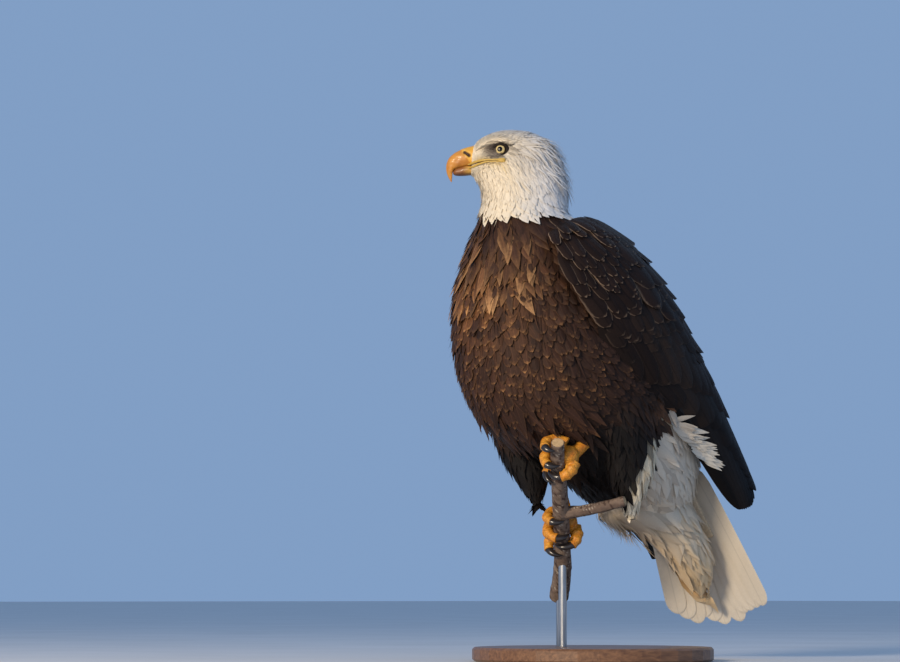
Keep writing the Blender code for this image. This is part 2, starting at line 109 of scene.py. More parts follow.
# ---- thighs: rows of (x, y, z, radius along, radius across) ----
THIGH_LEFT = [
    (34, -66, 442, 30, 22),
    (30, -78, 405, 58, 42),
    (42, -82, 358, 58, 46),
    (60, -78, 312, 46, 42),
    (72, -70, 266, 36, 32),
    (80, -62, 226, 16, 15),
]
THIGH_RIGHT = [
    (20, 66, 442, 30, 22),
    (10, 78, 405, 60, 42),
    (2, 80, 358, 64, 44),
    (2, 74, 312, 52, 38),
    (4, 66, 272, 34, 28),
    (6, 60, 238, 12, 12),
]


# ---------------------------------------------------------------- tools


def unit(v):
    return v / np.maximum(np.linalg.norm(v, axis=-1, keepdims=True), 1e-9)


def dot(a, b):
    return (a * b).sum(-1, keepdims=True)


def axes(points):
    return points[..., 0], points[..., 1], points[..., 2]


def smooth(low, high, x):
    """0 below low, 1 above high, and a soft S between."""
    x = np.clip((x - low) / (high - low), 0, 1)
    return x * x * (3 - 2 * x)


def bell(x, centre, spread):
    return np.exp(-(((x - centre) / spread) ** 2))


def curve(rows, t):
    """A Catmull-Rom curve through the rows, carried on straight past both ends."""
    rows = np.asarray(rows, float)
    last = len(rows) - 1
    t = np.asarray(t, float)
    inside = np.clip(t, 0, last)
    i = np.minimum(inside.astype(int), last - 1)
    f = (inside - i)[..., None]
    p = np.vstack([2 * rows[0] - rows[1], rows, 2 * rows[-1] - rows[-2]])
    a, b, c, d = (p[i + k] for k in range(4))
    on = b + 0.5 * f * (c - a + f * (2 * a - 5 * b + 4 * c - d + f * (3 * (b - c) + d - a)))
    past = (t - inside)[..., None]
    return on + np.where(past > 0, rows[-1] - rows[-2], rows[1] - rows[0]) * past


def turned(points, degrees):
    """Points turned about the neck's upright axis."""
    a = np.radians(degrees)
    x, y, z = axes(points)
    x = x - NECK_AXIS_X
    return np.stack([NECK_AXIS_X + x * np.cos(a) - y * np.sin(a), x * np.sin(a) + y * np.cos(a), z], -1)


def head_place(reach, side, z):
    """World place of a point of the turned head: reach forward of the neck's axis, side towards the bird's left."""
    reach, side, z = np.broadcast_arrays(*(np.asarray(v, float) for v in (reach, side, z)))
    return turned(np.stack([NECK_AXIS_X - reach, -side, z], -1), HEAD_TURN)


def head_local(points):
    """Reach, side and height of world points in the turned head's own axes."""
    x, y, z = axes(turned(points, -HEAD_TURN))
    return NECK_AXIS_X - x, -y, z


def noise(points, size, seed):
    """Smooth value noise in -1..1 from sines of slanted planes, for slow drifts of colour and form."""
    made = np.random.default_rng(seed)
    total = 0
    for k in range(6):
        direction = made.normal(size=3)
        total = total + np.sin(points @ direction * (2.2 / size) * (1 + 0.35 * k) + made.uniform(0, 6.28))
    return total / 3.2


def patches(points, size, seed):
    """The same noise as a share, 0..1."""
    return 0.5 + 0.5 * noise(points, size, seed)


# ---------------------------------------------------------------- surfaces of the bird


def brow_line(reach):
    """Height of the brow's overhanging edge: highest over the eye, falling both ways as a square."""
    off = np.asarray(reach, float) - 32
    return 740.5 - np.where(off > 0, 0.0092, 0.022) * off**2


def head_relief(reach, side, z):
    """Millimetres by which the head's side stands out: brow shelf over the eye, hollow lore and socket, full cheek."""
    line = brow_line(reach)
    ends = smooth(6, 22, reach) * (1 - smooth(60, 72, reach))
    brow = 3.4 * bell(z, line + 4.0, 5.0) * ends
    hollow = -5.0 * smooth(line + 1.6, line - 1.2, z) * smooth(711, 724, z) * smooth(12, 24, reach)
    hollow = hollow * (1 - smooth(60, 74, reach))
    cheek = 2.6 * bell(z, 704, 11) * bell(reach, 12, 22)
    return (brow + hollow + cheek) * smooth(8, 20, np.abs(side))


def body_point(t, a, grow=0.0, rows=BODY):
    """Body loft: on ring t, ventral + dorsal halves span a superellipse at turn a; the head adds its relief."""
    t, a = np.broadcast_arrays(np.asarray(t, float), np.asarray(a, float))
    row = curve(rows, t)
    c, s = np.cos(2 * np.pi * a), np.sin(2 * np.pi * a)
    across = np.sign(c) * np.abs(c) ** (2 / BODY_ROUNDNESS)
    along = np.sign(s) * np.abs(s) ** (2 / BODY_ROUNDNESS)
    half_x, half_z = (row[..., 2] - row[..., 0]) / 2, (row[..., 3] - row[..., 1]) / 2
    stretch = 1 + grow / np.hypot(half_x, half_z)
    points = np.stack(
        [
            (row[..., 0] + row[..., 2]) / 2 + half_x * stretch * along,
            (row[..., 4] + grow) * across,
            (row[..., 1] + row[..., 3]) / 2 + half_z * stretch * along,
        ],
        -1,
    )
    if rows is BODY:
        x, y, z = axes(points)
        push = head_relief(NECK_AXIS_X - x, -y, z) * smooth(13.5, 15.5, t)
        points[..., 1] += np.sign(points[..., 1]) * push
    return turned(points, row[..., 5])


def wing_point(side, s, q, lift=0.0):
    """Wing's outer sheet: row s from leading to back edge at share q, bulged by an arch; side -1 left, 1 right."""
    s, q = np.broadcast_arrays(np.asarray(s, float), np.asarray(q, float))
    row, ahead, behind = curve(WING, s), curve(WING, s + 0.5), curve(WING, s - 0.5)
    lead, back = row[..., 0:3], row[..., 3:6]
    axis = (ahead[..., 0:3] + ahead[..., 3:6] - behind[..., 0:3] - behind[..., 3:6]) / 2
    outward = np.cross(back - lead, axis)
    outward = unit(outward * np.sign(-outward[..., 1:2]))
    held = np.clip(q, 0, 1)
    arch = (4 * held * (1 - held))[..., None]
    rise = np.maximum(row[..., 6:7], 0.5) * arch + np.asarray(lift)[..., None]
    points = lead + (back - lead) * q[..., None] + outward * rise
    if side > 0:
        share = s / (len(WING) - 1)
        points[..., 2] -= RIGHT_WING_DROP * share**2
        points[..., 1] += RIGHT_WING_TUCK * (1 - share)
    return points * np.array([1, -side, 1])


def tail_axes():
    """Root, downward axis, sideways axis, normal and length of the fanned tail, rolled about its own length."""
    root, tip = np.array(TAIL_ROOT, float), np.array(TAIL_TIP, float)
    down = unit(tip - root)
    roll = math.radians(TAIL_ROLL)
    side = np.array([0.0, -math.cos(roll), math.sin(roll)])
    side = unit(side - down * (side @ down))
    normal = np.cross(side, down)
    return root, down, side, normal * np.sign(normal[0]), float(np.linalg.norm(tip - root))


def tail_point(share, q, lift=0.0):
    """Tail fan: share of its length from the root and q from -1 (right) to 1 (left), arched across the back."""
    root, down, side, normal, length = tail_axes()
    share, q = np.broadcast_arrays(np.asarray(share, float), np.asarray(q, float))
    half = TAIL_HALF_ROOT + (TAIL_HALF_TIP - TAIL_HALF_ROOT) * np.maximum(share, 0) ** 0.8
    arch = TAIL_ARCH * share * (1 - q**2) + lift
    reach = (length - TAIL_CORNER * q**2) * share
    return root + down * reach[..., None] + side * (half * q)[..., None] + normal * arch[..., None]


def limb_point(rows, t, a, grow=0.0):
    """Loft round a limb's rows: an ellipse across the path at row t, at turn a."""
    t, a = np.broadcast_arrays(np.asarray(t, float), np.asarray(a, float))
    row = curve(rows, t)
    heading = unit(curve(rows, t + 0.05)[..., :3] - curve(rows, t - 0.05)[..., :3])
    side = np.array([0.0, 1.0, 0.0]) - heading * heading[..., 1:2]
    side = unit(side)
    other = np.cross(heading, side)
    c, s = np.cos(2 * np.pi * a)[..., None], np.sin(2 * np.pi * a)[..., None]
    return row[..., :3] + side * (row[..., 4:5] + grow) * c + other * (row[..., 3:4] + grow) * s


class Skin:
    """A surface that feathers grow on: place(s, b) in mm, with s rising along the lie of the coat."""

    def __init__(self, place, inner, s_mid, b_mid):
        self.place = place
        self.sign = 1.0
        normal = self.at(np.array([s_mid]), np.array([b_mid]))[3]
        out = self.place(np.array([s_mid]), np.array([b_mid])) - np.asarray(inner, float)
        self.sign = float(np.sign((normal * out).sum()))

    def at(self, s, b, step=2e-3):
        """Point, its two derivatives and the outward normal, by central differences."""
        along = (self.place(s + step, b) - self.place(s - step, b)) / (2 * step)
        across = (self.place(s, b + step) - self.place(s, b - step)) / (2 * step)
        return self.place(s, b), along, across, unit(np.cross(along, across)) * self.sign


# ---------------------------------------------------------------- meshes


def write_colours(mesh, label, values):
    """Gives every point its colour, and its strength where the values have a fourth column."""
    values = np.asarray(values, np.float32)
    rgba = np.ones((len(mesh.vertices), 4), np.float32)
    rgba[:, : values.shape[-1]] = values.reshape(-1, values.shape[-1])
    mesh.attributes.new(label, "FLOAT_COLOR", "POINT").data.foreach_set("color", rgba.ravel())


def vertex_places(mesh):
    """Places of a mesh's vertices in mm."""
    place = np.empty(len(mesh.vertices) * 3, np.float32)
    mesh.vertices.foreach_get("co", place)
    return place.reshape(-1, 3).astype(float) / MM + ORIGIN


def mesh_object(name, points, triangles, smooth_angle=50.0, uvs=None, colours=None, bake=None, edges=None):
    """One mesh object from arrays: points in mm, triangles, and per-point UVs, bake UVs and colours."""
    mesh = bpy.data.meshes.new(name)
    points = (np.asarray(points, float).reshape(-1, 3) - ORIGIN) * MM
    triangles = np.asarray(triangles, np.int32).reshape(-1, 3)
    mesh.vertices.add(len(points))
    mesh.vertices.foreach_set("co", points.astype(np.float32).ravel())
    mesh.loops.add(triangles.size)
    mesh.loops.foreach_set("vertex_index", triangles.ravel())
    mesh.polygons.add(len(triangles))
    mesh.polygons.foreach_set("loop_start", np.arange(len(triangles), dtype=np.int32) * 3)
    mesh.update(calc_edges=True)
    for label, values in (("Vane", uvs), ("OFBake", bake)):
        if values is not None:
            layer = mesh.uv_layers.new(name=label)
            layer.data.foreach_set("uv", np.asarray(values, np.float32).reshape(-1, 2)[triangles.ravel()].ravel())
    for label, values in (("Coat", colours), ("Edge", edges)):
        if values is not None:
            write_colours(mesh, label, values)
    mesh.validate()
    mesh.shade_smooth()
    mesh.set_sharp_from_angle(angle=math.radians(smooth_angle))
    made = bpy.data.objects.new(name, mesh)
    bpy.context.scene.collection.objects.link(made)
    return made


def tube_triangles(rings, sides):
    """Triangles of a tube of rings, closed by a fan to one extra point at each end (first, then last)."""
    i, j = np.meshgrid(np.arange(rings - 1), np.arange(sides), indexing="ij")
    a, b = i * sides + j, i * sides + (j + 1) % sides
    c, d = a + sides, b + sides
    j, last, end = np.arange(sides), (rings - 1) * sides, np.full(sides, rings * sides)
    after = (j + 1) % sides
    faces = [np.stack([a, b, d], -1).reshape(-1, 3), np.stack([a, d, c], -1).reshape(-1, 3)]
    faces += [np.stack([after, j, end], -1), np.stack([last + j, last + after, end + 1], -1)]
    return np.concatenate(faces)


def closed_tube(rings, ends=None):
    """Points and triangles of a tube from (rings, sides, 3) points, closed at both ends and facing outwards."""
    ends = (rings[0].mean(0), rings[-1].mean(0)) if ends is None else ends
    points = np.concatenate([rings.reshape(-1, 3), np.stack(ends)])
    triangles = tube_triangles(*rings.shape[:2])
    a, b, c = (points[triangles[:, k]] for k in range(3))
    if (np.cross(b - a, c - a) * (a - points.mean(0))).sum() < 0:
        triangles = triangles[:, ::-1]
    return points, triangles


def tube(name, rings, colours, ends=None):
    return mesh_object(name, *closed_tube(rings, ends), colours=colours)


# ---------------------------------------------------------------- feathers


def walk(skin, s, b, turn, length, stations):
    """Midlines that set off at `turn` from the lie and walk over the skin: points, sides and normals."""
    places, sides, normals = [], [], []
    for gap in np.diff(np.append(stations, stations[-1])):
        p, along, across, n = skin.at(s, b)
        level = np.cross(n, unit(along))
        heading = unit(along) * np.cos(turn)[:, None] + level * np.sin(turn)[:, None]
        places.append(p)
        sides.append(np.cross(n, heading))
        normals.append(n)
        pairs = ((along, along), (along, across), (across, across), (heading, along), (heading, across))
        g11, g12, g22, h1, h2 = (dot(first, second)[:, 0] for first, second in pairs)
        det = np.maximum(g11 * g22 - g12**2, 1e-6)
        s = s + (g22 * h1 - g12 * h2) / det * gap * length
        b = b + (g11 * h2 - g12 * h1) / det * gap * length
    return np.stack(places, 1), np.stack(sides, 1), np.stack(normals, 1)


OUTLINES = {
    # kind: share of the length where the root has opened, share where the tip starts to close, and p and r of outline
    "scale": (0.45, 0.45, 2.0, 0.55),
    "round": (0.30, 0.72, 2.2, 0.55),
    "lance": (0.40, 0.35, 1.5, 0.95),
    "hackle": (0.30, 0.52, 1.3, 0.85),
    "wisp": (0.15, 0.20, 1.0, 1.1),
    "flight": (0.10, 0.90, 2.0, 0.55),
    "primary": (0.08, 0.70, 2.2, 0.62),
}
OPENING = 0.6
CREASE_ANGLE = 55.0
BAKE_EDGE, BAKE_VANE = 0.004, 0.003  # margin of the bake map, and a vane's size on it


def outline(kind, u):
    """Half-width share along a vane: opens as a power of u, then closes as (1 - x^p)^r past its shoulder."""
    opened, closing, p, r = OUTLINES[kind]
    return np.minimum(u / opened, 1) ** OPENING * (1 - np.clip((u - closing) / (1 - closing), 0, 1) ** p) ** r


def feather_piece(
    name, skin, roots, kind, length, width, paint, rings=4, columns=3, low=0.5, high=4.0, power=1.3, curl=0.0,
    turn=0.0, tilt=0.0, thick=0.3, crown=0.22, rough=0.0, bunch=1.25,
):
    """Many thin closed vanes as one mesh.

    Each vane is rings of points across its midline: half the width times the outline, crowned at the shaft,
    lifted off the skin as low + (high - low) * u^power + curl * u^3, and closed underneath by its thickness.
    """
    s, b = roots
    count = len(s)
    each = (np.broadcast_to(np.asarray(v, float), (count,)) for v in (length, width, turn, low, high, curl, tilt))
    length, width, turn, low, high, curl, tilt = each
    inner = 1 - (1 - np.linspace(0, 1, rings + 2)[1:-1]) ** bunch
    u = np.concatenate([[0.0], inner, [1.0]])
    places, sides, normals = walk(skin, s, b, turn, length, u)
    low, high, curl = low[:, None], high[:, None], curl[:, None]
    middle = places + normals * (low + (high - low) * u**power + curl * u**3)[..., None]
    x = np.linspace(-1, 1, columns)
    half = width[:, None, None] / 2 * outline(kind, inner)[None, :, None]
    if rough:
        half = half * (1 + rough * rng.normal(size=(count, rings, 1)))
    cross = half * x
    rise = tilt[:, None, None] * cross - crown * half * x**2
    side, normal = sides[:, 1:-1, None], normals[:, 1:-1, None]
    top = middle[:, 1:-1, None] + side * cross[..., None] + normal * rise[..., None]
    under = top[:, :, 1:-1] - normal * thick
    ring = np.concatenate([top, under[:, :, ::-1]], 2)
    points = np.concatenate([ring.reshape(count, -1, 3), middle[:, :1], middle[:, -1:]], 1)
    per, round_count = points.shape[1], 2 * columns - 2
    template = tube_triangles(rings, round_count)
    triangles = (template + (np.arange(count) * per)[:, None, None]).reshape(-1, 3)
    across = np.concatenate([np.tile(np.concatenate([x, x[1:-1][::-1]]), rings), [0, 0]])
    along = np.concatenate([np.repeat(inner, round_count), [0, 1]])
    across, along = np.broadcast_to(across, (count, per)), np.broadcast_to(along, (count, per))
    uvs = np.stack([across / 2 + 0.5, along], -1)
    place = np.stack([(v - v.min()) / (v.max() - v.min() + 1e-9) for v in (s, b)], -1)
    place = BAKE_EDGE + 0.99 * place
    bake = place[:, None, :] + np.stack([along - 0.5, across / 2], -1) * BAKE_VANE
    colours, edges = paint(points, along, places[:, 0])
    # the first triangle of the first vane's top must face along its own normal
    a, c, d = points[0][template[0]]
    if np.cross(c - a, d - a) @ normals[0, 1] < 0:
        triangles = triangles[:, ::-1]
    return mesh_object(name, points, triangles, CREASE_ANGLE, uvs, colours, bake, edges)


def tint(red, green, blue):
    """Linear colour from screen values of 0 to 255."""
    c = np.array([red, green, blue], float) / 255
    return np.where(c < 0.04045, c / 12.92, ((c + 0.055) / 1.055) ** 2.4)


def blend(a, b, share):
    """a where share is 0 and b where it is 1."""
    return a + (b - a) * np.asarray(share)[..., None]


# ---------------------------------------------------------------- markings shared by skin and coat

WHITE, CREAM = tint(216, 214, 212), tint(224, 208, 178)
BROWN, TAN, DARK, BLACK = tint(59, 37, 26), tint(164, 118, 72), tint(43, 28, 21), tint(18, 15, 14)
WING_BROWN, WING_EDGE = tint(38, 27, 23), tint(148, 124, 102)


def body_colours(p):
    """Base and edge colour of the brown coat at p: golden fringes high on the front, small tan tips below them,
    plain dark sides, a near-black belly, and a white vent behind the thighs."""
    x, y, z = axes(p)
    front = smooth(-40, -140, x)
    patch = patches(p, 46, 3)
    gold = bell(z, 532, 50) * front * bell(y, -4, 64) * smooth(0.2, 0.6, patch)
    low_gold = bell(z, 430, 70) * bell(x, -95, 70) * smooth(0.3, 0.9, patch)
    belly = smooth(408, 345, z - 0.9 * x)
    flank = bell(z, 376, 30) * bell(x, 84, 48) * (y < 0)
    base = blend(DARK, BROWN, np.clip(0.15 + 0.8 * front * (0.4 + 0.6 * patch), 0, 1))
    base = blend(base, tint(116, 76, 44), np.clip(0.8 * gold + 0.08 * low_gold, 0, 1))
    edge = blend(tint(57, 38, 27), TAN, np.clip(gold + 0.8 * low_gold + 0.2 * front, 0, 1))
    base, edge = blend(base, tint(88, 60, 40), 0.8 * flank), blend(edge, tint(132, 96, 62), 0.8 * flank)
    base, edge = blend(base, BLACK, belly * (1 - flank)), blend(edge, DARK, belly * (1 - flank))
    vent = vent_share(p)
    return blend(base, CREAM, vent), blend(edge, WHITE, vent)


def gold_colours(p):
    """Golden vanes high on the front: dusky bases inside broad tan edges, in patches."""
    base, edge = body_colours(p)
    patch = smooth(0.35, 0.6, patches(p, 40, 12))
    return blend(base, tint(112, 78, 50), 0.7 * patch), blend(edge, tint(184, 140, 94), 0.8 * patch)


def vent_share(p):
    """1 on the white coat behind the thighs, past a line that slants back as it rises and in towards the spine."""
    x, y, z = axes(p)
    line = x - (119 + 0.664 * (z - 235) - 0.97 * np.abs(y))
    line = line + 30 * smooth(252, 232, z)
    spine = smooth(314, 340, z + 12 * noise(p, 16, 13)) * smooth(70, 48, np.abs(y))
    return smooth(-5, 5, line + 5 * noise(p, 14, 4)) * (1 - spine)


def head_colours(p):
    """White head: cream, cooler at the nape, with grey skin showing through in front of and round the eye, and a
    painted shadow of the brow just in front of the eye.
    """
    reach, side, z = head_local(p)
    under = smooth(brow_line(reach) + 1.5, brow_line(reach) - 1.5, z)
    streak = patches(np.stack([reach * 0.35, side, z * 1.6], -1), 5.0, 5)
    lore = smooth(28, 40, reach) * (1 - smooth(57, 68, reach + 5 * streak)) * under * smooth(713, 720, z)
    gape = bell(z, 714, 4.5) * smooth(26, 36, reach) * (1 - smooth(66, 74, reach))
    # dark: a painted shadow cast by the brow onto the face just in front of the eye
    dark = bell(np.hypot((reach - 43) * 0.55, z - 733.0), 0, 7.5) * under
    ring = bell(np.hypot(reach - 31.2, z - 729.2), 9.0, 3.0) * smooth(720, 729, z)
    behind = bell(np.hypot((reach - 8) / 1.5, z - 727), 0, 15) * streak
    base = blend(WHITE, CREAM, smooth(-30, 40, reach) * smooth(764, 742, z) * 0.8)
    near = np.abs(side) > 12
    base = blend(base, tint(196, 170, 112), 0.75 * gape * near)
    grey = np.clip(np.maximum(lore * (0.65 + 0.35 * streak), behind * 0.35), 0, 1)
    base = blend(base, tint(108, 98, 90), grey * near)
    # darkest tone: the painted brow shadow in front of the eye, and the dark skin ring under the eye
    return blend(base, tint(42, 34, 30), np.clip(np.maximum(dark * 0.95, ring * 0.95), 0, 1) * near)


def head_share(p):
    """1 on the white head and neck and 0 on the brown body, parted by a plane that rises towards the back."""
    x, _, z = axes(p)
    return smooth(636, 648, z - 0.17 * (x + 142))


def painter(colours, rim=1.0, vary=0.12, shade=0.82):
    """Colours for each vane: its root's base colour darkened at the root as painted shade under the vanes that
    lie over it, and its edge colour with a strength, both at a tone of the vane's own."""

    def paint(points, along, places):
        count = len(places)
        base, edge = (c[:, None, :] + 0 * points for c in colours(places))
        tone = np.exp(vary * rng.normal(size=(count, 1, 1)))
        # darker towards the root by the shade factor: painted shade where the vanes above overlap it
        root = (shade + (1 - shade) * smooth(0.05, 0.6, along))[..., None]
        rng.random(count)  # an unused draw, kept so that every later vane stays as it is
        strength = rim * rng.uniform(0.4, 1.0, (count, 1, 1)) + 0 * along[..., None]
        return base * tone * root, np.concatenate([edge * tone, strength], -1)

    return paint


def head_pair(p):
    """Base and edge colour of the white head and neck."""
    base = head_colours(p)
    return base, base * 1.04


def rear_colours(p):
    """Cream white of the tail and its soft coverts, warmer where it hangs lowest as painted warm sunlight, and greyed
    in patches near the thighs as painted shade.
    """
    x, _, z = axes(p)
    # the cream is the coat's own; the extra warmth low down is painted warm sunlight on the lower tail
    low = smooth(300, 120, z)
    base = blend(blend(WHITE, CREAM, 0.6 + 0 * low), tint(218, 186, 136), low * 0.85)
    # greyer towards the thighs, broken into patches: painted shade of the thighs
    painted_thigh_shade = smooth(175, 110, x) * patches(p, 18, 14)
    base = blend(base, tint(146, 130, 114), 0.6 * painted_thigh_shade)
    return base, base * 1.05


def wing_colours(p):
    """Base and edge of the wing coat: brown with pale edges high at the front, darker with distance down the wing."""
    x, _, z = axes(p)
    down, rear = smooth(590, 350, z), smooth(-60, 120, x)
    base = blend(blend(WING_BROWN, tint(44, 32, 27), 0.6 * rear), BLACK, down)
    fore = bell(x + 0.75 * z, 415, 42) * smooth(560, 500, z) * smooth(340, 420, z)
    base = blend(base, tint(56, 45, 38), 0.6 * fore)
    edge = blend(blend(WING_EDGE, tint(96, 76, 62), rear), tint(32, 26, 24), smooth(555, 450, z))
    return base, edge


# ---------------------------------------------------------------- materials


class Graph:
    """The nodes of one material. A socket is set when it is given a number or colour, and linked when it is given
    another node's output."""

    def __init__(self, name):
        self.material = bpy.data.materials.new(name)
        self.material.use_nodes = True
        self.tree = self.material.node_tree

    def put(self, node, sockets):
        for key, value in sockets.items():
            if isinstance(value, bpy.types.NodeSocket):
                self.tree.links.new(value, node.inputs[key])
            else:
                node.inputs[key].default_value = value

    def add(self, kind, sockets=None, out=0, **settings):
        """A new node's output."""
        node = self.tree.nodes.new("ShaderNode" + kind)
        for key, value in settings.items():
            setattr(node, key, value)
        self.put(node, sockets or {})
        return node.outputs[out]

    def maths(self, operation, first, second=0.0):
        return self.add("Math", {0: first, 1: second}, operation=operation)

    def times(self, first, second):
        return self.maths("MULTIPLY", first, second)

    def ranged(self, value, low, high, start=0.0, end=1.0, kind="LINEAR"):
        """Value carried from low..high to start..end."""
        sockets = {"Value": value, "From Min": low, "From Max": high, "To Min": start, "To Max": end}
        return self.add("MapRange", sockets, interpolation_type=kind)

    def eased(self, value, low, high):
        """Value eased from 0 at low to 1 at high."""
        return self.ranged(value, low, high, kind="SMOOTHSTEP")

    def mix(self, first, second, share, blend_type="MIX"):
        sockets = {"Factor": share, "A": first, "B": second}
        return self.add("Mix", sockets, "Result", data_type="RGBA", blend_type=blend_type)

    def finish(self, colour, height, strength, distance, sockets, invert=False):
        """Wires colour and relief into the shader, and sets its other sockets."""
        bump = self.add("Bump", {"Strength": strength, "Distance": distance, "Height": height}, invert=invert)
        shader = self.tree.nodes["Principled BSDF"]
        self.put(shader, {"Base Color": colour, "Normal": bump, **sockets})
        return self.material


def vane_material(name, roughness, barbs, depth, side=(0.8, 0.5), tip=0.9, shaft=0.15, specular=0.3, frayed=0.5):
    """Vane, worked out from its own map: Coat colour inside, Edge colour along the rim past side[0] and past the
    tip's start, a darker shaft, and slanted barb lines that also give relief."""
    g = Graph(name)
    coat, edge = (g.add("Attribute", attribute_name=label) for label in ("Coat", "Edge"))
    split = g.add("SeparateXYZ", {0: g.add("UVMap", uv_map="Vane")}).node.outputs
    off, along = g.maths("ABSOLUTE", g.times(g.maths("SUBTRACT", split["X"], 0.5), 2.0)), split["Y"]
    grain = g.add("TexNoise", {"Vector": g.add("TexCoord", out="Object"), "Scale": 240.0, "Detail": 3.0})
    ragged = g.times(g.maths("SUBTRACT", grain, 0.5), frayed)
    beside = g.eased(g.maths("ADD", off, ragged), side[0], 1.0)
    past = g.eased(g.maths("ADD", along, g.times(ragged, 0.4)), tip, 1.0)
    rim = g.times(g.maths("MAXIMUM", g.times(beside, side[1]), past), g.eased(along, 0.15, 0.55))
    rimmed = g.mix(coat, edge, g.times(rim, edge.node.outputs["Alpha"]))
    wave = g.maths("SINE", g.times(g.maths("SUBTRACT", along, g.times(off, 0.28)), barbs))
    lines = g.maths("ADD", g.times(wave, 0.5), grain)
    shade = g.ranged(lines, -0.3, 1.3, 1.0 - depth, 1.0 + depth * 0.35)
    quill = g.maths("SUBTRACT", 1.0, g.times(g.eased(off, 0.09, 0.03), shaft))
    colour = g.mix(rimmed, g.times(shade, quill), 1.0, "MULTIPLY")
    return g.finish(colour, lines, 0.35, 0.0004, {"Roughness": roughness, "Specular IOR Level": specular})


def surface_material(name, roughness, scale, depth, relief, pebbled=False, specular=0.4, coat=0.0):
    """Painted surface: its Coat colour, broken by 3-D noise or pebbles that also give its relief."""
    g = Graph(name)
    sockets = {"Vector": g.add("TexCoord", out="Object"), "Scale": scale}
    if pebbled:
        height = g.add("TexVoronoi", sockets, feature="SMOOTH_F1")
        shade = g.ranged(height, 0.2, 0.8, 1.0 + depth * 0.3, 1.0 - depth)
    else:
        height = g.add("TexNoise", {**sockets, "Detail": 6.0, "Roughness": 0.62})
        shade = g.ranged(height, 0.2, 0.8, 1.0 - depth, 1.0 + depth * 0.5)
    colour = g.mix(g.add("Attribute", attribute_name="Coat"), shade, 1.0, "MULTIPLY")
    sockets = {"Roughness": roughness, "Specular IOR Level": specular, "Coat Weight": coat, "Coat Roughness": 0.08}
    return g.finish(colour, height, 0.6, relief, sockets, pebbled)


def two_tone_material(name, dark, light, roughness, scale, stretch, relief, metallic=0.0):
    """Stand finish: two tones mixed by stretched 3-D noise, with the same noise as fine relief."""
    g = Graph(name)
    place = g.add("Mapping", {"Vector": g.add("TexCoord", out="Object"), "Scale": stretch})
    grain = g.add("TexNoise", {"Vector": place, "Scale": scale, "Detail": 7.0, "Distortion": 0.6})
    ramp = g.add("ValToRGB", {"Fac": grain})
    first, last = ramp.node.color_ramp.elements
    first.position, last.position = 0.3, 0.7
    first.color, last.color = (*dark, 1), (*light, 1)
    return g.finish(ramp, grain, 0.3, relief, {"Roughness": roughness, "Metallic": metallic})


MATERIALS = {
    "white": vane_material("white_vane", 0.65, 130.0, 0.10, shaft=0.0, specular=0.2),
    "breast": vane_material("breast_vane", 0.62, 130.0, 0.36, (0.30, 0.9), 0.62, -0.35, 0.2),
    "brown": vane_material("brown_vane", 0.62, 130.0, 0.36, (0.70, 0.4), 0.86, -0.5, 0.18),
    "covert": vane_material("covert_vane", 0.58, 190.0, 0.3, (0.80, 1.0), 0.94, 0.3, 0.09, 0.12),
    "flight": vane_material("flight_vane", 0.55, 420.0, 0.3, (0.90, 0.8), 0.97, 0.3, 0.08, 0.12),
    "tail": vane_material("tail_vane", 0.55, 420.0, 0.12, shaft=0.12),
    "skin": surface_material("coat_skin", 0.8, 260.0, 0.35, 0.0008),
    "bill": surface_material("bill_horn", 0.42, 90.0, 0.14, 0.0003, coat=0.1),
    "foot": surface_material("foot_skin", 0.5, 520.0, 0.35, 0.0005, True),
    "talon": surface_material("talon_horn", 0.28, 160.0, 0.3, 0.0002, coat=0.3),
    "eye": surface_material("eye_glass", 0.12, 700.0, 0.10, 0.00002, specular=0.25, coat=0.2),
    "lid": surface_material("lid_skin", 0.6, 900.0, 0.25, 0.0002, specular=0.15),
    "bark": surface_material("bark", 0.82, 150.0, 0.4, 0.0012),
}


def finish_piece(piece, material, slot, *nodes):
    """Gives a piece its material and its body, and hides the solids that it stands for. Its slot is not used."""
    piece.data.materials.append(MATERIALS[material])
    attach(piece, "root")
    if nodes:
        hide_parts(*nodes)


# ---------------------------------------------------------------- fused pieces

FACE_Z, FACE_REACH = 700.0, 10.0  # the face keeps its finest cells from here up and forward


def made_real(piece):
    """Turns the piece's modifiers into its mesh."""
    mesh = bpy.data.meshes.new_from_object(piece.evaluated_get(bpy.context.evaluated_depsgraph_get()))
    piece.modifiers.clear()
    piece.vertex_groups.clear()
    piece.data = mesh
    return mesh


def fused(name, parts, voxel, colours, rounds=2, ratio=1.0):
    """Closed tubes melted into one closed surface of small cells, softened, then painted by place. With a ratio
    under 1 that share of the cells is kept, and the face, high and to the front of the head, keeps all of its own."""
    points, faces, start = [], [], 0
    for part, triangles in map(closed_tube, parts):
        points.append(part)
        faces.append(triangles + start)
        start += len(part)
    piece = mesh_object(name, np.concatenate(points), np.concatenate(faces))
    melt = piece.modifiers.new("melt", "REMESH")
    melt.mode, melt.voxel_size, melt.use_smooth_shade = "VOXEL", voxel * MM, True
    soften = piece.modifiers.new("soften", "SMOOTH")
    soften.factor, soften.iterations = 0.5, rounds
    mesh = made_real(piece)
    if ratio < 1:
        reach, _, z = head_local(vertex_places(mesh))
        loose = piece.vertex_groups.new(name="loose")
        loose.add(np.flatnonzero((z < FACE_Z) | (reach < FACE_REACH)).tolist(), 1.0, "REPLACE")
        thin = piece.modifiers.new("thin", "DECIMATE")
        thin.ratio, thin.vertex_group = ratio, "loose"
        mesh = made_real(piece)
    mesh.shade_smooth()
    write_colours(mesh, "Coat", colours(vertex_places(mesh)))
    return piece


# ---------------------------------------------------------------- coat depth and growing skins

LIMB_INSET = 6.0  # depth of the coat on thighs and undertail
BODY_ROWS = len(BODY) - 1


